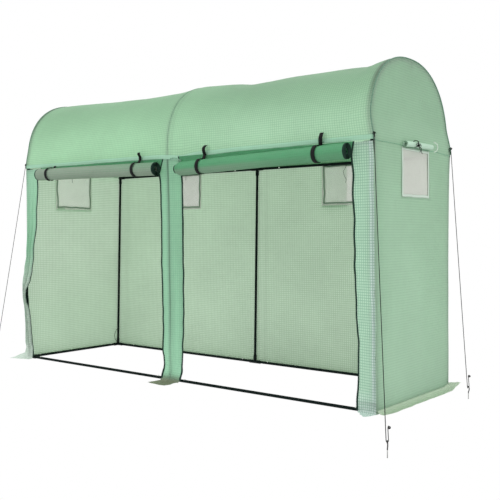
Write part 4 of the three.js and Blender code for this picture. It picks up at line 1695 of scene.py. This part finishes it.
def makeWindow(key):
    wall, margin, lap = wallFrames[key], windowLook["net"], windows["tapeLap"]
    seed, outward = wall["seed"], wall["outward"]
    half, low, high = windows["width"] / 2, windows["bottom"], wall["top"]

    def netPlace(s, z):
        away = windowLook["netRipple"] * ripple(s, z, seed, (6, 6)) - windowLook["netIn"]
        return onWall(key, s, z, away)

    bm = cutSheet((-half - margin, low - margin), (half + margin, high + margin * 0.5),
                  windowLook["netCells"])
    net = clothPiece("windowNet_" + key, bm, netPlace, outward, insectNet, "window_net",
                     node="window_net_" + key, looks={"shade": lambda s, z: wall["shade"]})
    for face, (facing, away, cloth, width) in windowLook["tapes"].items():
        inset = width - lap
        hole = ((-half + inset, low + inset), (half - inset, high - inset))
        bm = cutSheet((-half - lap, low - lap), (half + lap, high + lap), windowLook["tapeCells"],
                      holes=[hole])

        def place(s, z):
            pull = windowLook["tapePull"] * ripple(z, s, seed, (7.0, 2.0))
            sag = windowLook["tapeSag"] * ripple(s, z, seed + 4, (12.0, 2.0))
            return onWall(key, s + pull, z + sag, away)

        clothPiece(f"windowTape_{face}_{key}", bm, place, outward * facing, cloths[cloth],
                                thickness=house["sheet"])


def makeHangingFlap(key, folded):
    (width, length), hem, hinge = windowLook["flap"], windowLook["flapHem"], windowLook["hinge"]
    length -= hinge
    bottom = windowLook["flapTop"] - hinge - length
    side = width / 2 - hem
    cuts = [("x", -side), ("x", side), ("y", hem)] + ([("x", 0.0)] if folded else [])
    bm = cutSheet((-width / 2, 0), (width / 2, length), windowLook["flapCells"], cuts=cuts)

    def place(s, t):
        loose = easeIn(length - t, 0.0, windowLook["looseReach"])
        sway = 0.6 + ripple(s, t, 5.0 + len(key), (5.0, 3.0))
        away = windowLook["flapAway"] + windowLook["flapLoose"] * loose * sway
        if folded and s < 0:
            over = windowLook["foldAway"] + windowLook["foldBulge"] * bump(s, *windowLook["foldPlace"])
            return onWall(key, -s * 0.98, bottom + t, away + over)
        return onWall(key, s, bottom + t, away)

    piece = clothPiece("windowFlap_" + key, bm, place, None if folded else wallFrames[key]["outward"],
                       [cloths["flap"], cloths["hem"]], body=key + "_flap", node="window_flap_" + key,
                       looks={"trim": lambda s, t: int(t < hem or abs(s) > side)})


flapRoll = {
    "shifts": {"right_end": -0.006, "rear_left": 0.0},
    "width": 0.365,
    "height": 1.516,
    "cells": (70, 66),
    "radius": 0.0215,
    "core": 0.008,
    "turns": 3,
    "wrinkle": 0.07,
    "pinch": 0.16,
    "pinchReach": 0.02,
    "squashed": 0.22,
    "taper": [(-0.5, 0.6), (-0.12, 0.86), (0.06, 0.95), (0.24, 0.8)],
    "sag": 0.006,
    "slope": 0.03,
    "off": 0.0012,
    "anchor": 0.0035,
    "webTop": 0.002,
    "webOff": 0.0022,
    "webCells": (30, 30),
    "drop": 0.016,
    "travel": 0.285,
    "tieBeside": 0.05,
    "tieApart": 0.003,
    "tieSkew": 0.004,
    "tieRadius": 0.0018,
    "tieSquashed": 0.12,
    "knotDrop": 0.008,
    "knotSize": 0.007,
    "bowRadius": 0.0017,
    "bowOff": 0.002,
    "bows": [
        [(0, 0), (-0.018, 0.014), (-0.034, 0.006), (-0.026, -0.008), (0, 0)],
        [(0, 0), (0.014, 0.012), (0.026, 0.002), (0.018, -0.012), (0, 0)],
        [(0, 0), (0.006, -0.018), (0.018, -0.026), (0.012, -0.038)],
        [(0, 0), (0.016, -0.012), (0.032, -0.016), (0.030, -0.030), (0.042, -0.044)],
    ],
    "loopIn": 0.012,
    "loopAway": 0.054,
    "loopRadius": 0.0022,
    "loop": [(-0.004, 0.030, -0.012), (0.012, 0.022, 0.0), (0.018, 0.0, 0.004), (0.008, -0.022, 0.0),
             (-0.006, -0.030, -0.01)],
}


def makeFlapTie(key, tieAt):
    # two rings of cord round the roll, a knot in front and its two bows and two ends
    look, wall = flapRoll, wallFrames[key]
    along, outward, upward = wall["along"], wall["outward"], Vector((0, 0, 1))
    middle = onWall(key, tieAt, look["height"], look["off"] + look["radius"])
    reach = look["radius"] * 0.93
    grids = []
    for offset in (-look["tieApart"], look["tieApart"]):
        ring = []
        for k in range(25):
            angle = 2 * math.pi * k / 24
            skew = offset + look["tieSkew"] * math.sin(angle)
            rise = reach * math.sin(angle) + look["tieSkew"]
            ring.append(middle + along * skew + outward * reach * math.cos(angle) + upward * rise)
        grids.append(tubeGrid(ring, look["tieRadius"], 6))
    front = middle + outward * (look["radius"] * 0.95) - upward * look["knotDrop"]
    grids.append(knotGrid(front, look["knotSize"], look["tieRadius"], 0.6))
    for points in look["bows"]:
        line = [front + along * a + upward * b + outward * look["bowOff"] for a, b in points]
        grids.append(tubeGrid(smoothPath(line, 6), look["bowRadius"], 6))
    return finishPiece("windowTie_" + key, joinGrids(grids), cordBraid, "rope")


def makeRolledFlap(key, shift):
    look = {**flapRoll, "seed": 4.0 + len(key), "ties": (shift - flapRoll["tieBeside"],)}
    wall, body, node = wallFrames[key], key + "_flap", "window_flap_" + key
    joint, outward = body + "_slide", wall["outward"]
    spiral, rollZ, drop, width = spiralLength(look), look["height"], look["drop"], look["width"]
    low, high = shift - width / 2, shift + width / 2

    def place(s, t):
        taper = between(look["taper"], s - shift)
        away, up = (part * taper for part in rollPlace(look, s, t))
        sag = look["sag"] * ripple(s, 0, 12.0, (3.0, 1.0), 1) + look["slope"] * (s - shift)
        reach = look["off"] + look["radius"] * 1.05 * taper
        return onWall(key, s, rollZ, 0.0) + outward * (reach - away) + Vector((0, 0, up + sag))

    # painted shade: darker on the underside of each turn
    def shade(s, t):
        return 1.04 - 0.10 * max(math.sin(spiralSpot(t, look)[0]), 0.0)

    bm = cutSheet((low, 0), (high, spiral), look["cells"])
    roll = clothPiece("windowFlapRoll_" + key, bm, place, (0, 0, -1), cloths["flapRoll"], body=body,
                      node=node, thickness=house["sheet"], looks={"shade": shade})
    bm = cutSheet((low, 0), (high, drop), look["webCells"])
    webTop = rollZ + look["webTop"]
    web = clothPiece("windowFlapWeb_" + key, bm, lambda s, t: onWall(key, s, webTop - t, look["webOff"]),
                     outward, cloths["flap"], rides=False, node=node,
                     looks={"flat": webFlat(drop, look["travel"])})
    start = tuple(onWall(key, 0, webTop, 0))
    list(start[:2])
    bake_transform(web)
    tie = makeFlapTie(key, look["ties"][0])
    arc = [onWall(key, high - look["loopIn"] + a, rollZ + b, look["loopAway"] + c)
           for a, b, c in look["loop"]]
    loop = tubePiece("windowLoop_" + key, smoothPath(arc, 6), look["loopRadius"], paleCord, "rope", body=body)
    anchor = tuple(onWall(key, 0, rollZ, look["anchor"]))
    for piece, keep in ((roll, look["squashed"]), (tie, look["tieSquashed"]), (loop, look["squashed"])):
        tuple(outward)
        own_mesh(piece)


for windowKey in wallFrames:
    makeWindow(windowKey)
makeHangingFlap("left_end", False)
makeHangingFlap("rear_right", True)
for flapKey, flapShift in flapRoll["shifts"].items():
    makeRolledFlap(flapKey, flapShift)
print("windows made")


# Small cords: hanging strings inside, a loop at the rear left post and the loop at the roof's hem

strings = {
    "radius": 0.0012,
    "lines": {
        "stringRearLeft": [(-0.717, 0.515, 1.474), (-0.716, 0.513, 1.46), (-0.718, 0.514, 1.435)],
        "stringLeftEnd": [(-1.492, -0.051, 1.474), (-1.490, -0.052, 1.45), (-1.491, -0.050, 1.42)],
        "stringRearRight": [(0.764, 0.516, 1.478), (0.756, 0.512, 1.455), (0.742, 0.510, 1.432),
                            (0.752, 0.509, 1.40), (0.764, 0.510, 1.375), (0.758, 0.509, 1.352)],
    },
    "postRadius": 0.0022,
    "postLoop": [(-1.478, 0.476, 0.155), (-1.474, 0.466, 0.150), (-1.482, 0.452, 0.125),
                 (-1.488, 0.446, 0.09), (-1.484, 0.450, 0.055), (-1.476, 0.462, 0.034),
                 (-1.474, 0.474, 0.03)],
    "hemRadius": 0.0028,
    "hemKnot": (0.008, 0.0024),
    "hemLoop": [(0.03, -0.534, 1.492), (0.06, -0.540, 1.494), (0.09, -0.542, 1.490),
                (0.112, -0.541, 1.482), (0.122, -0.538, 1.474)],
}


def makeStrings():
    for name, points in strings["lines"].items():
        line = smoothPath(points, 5)
        piece = tubePiece(name, line, strings["radius"], cordBraid, "rope", 6)
        tuple(line[0])
        round(pathLengths(line)[-1], 3)
        [tuple(point) for point in line]
    tubePiece("postLoop", smoothPath(strings["postLoop"], 6), strings["postRadius"], cordBraid, "rope", 6)
    line = smoothPath(strings["hemLoop"], 6)
    loop = joinGrids([tubeGrid(line, strings["hemRadius"]), knotGrid(line[-1], *strings["hemKnot"])])
    finishPiece("hemLoop", loop, seamThread, "rope")


makeStrings()
print("strings made")
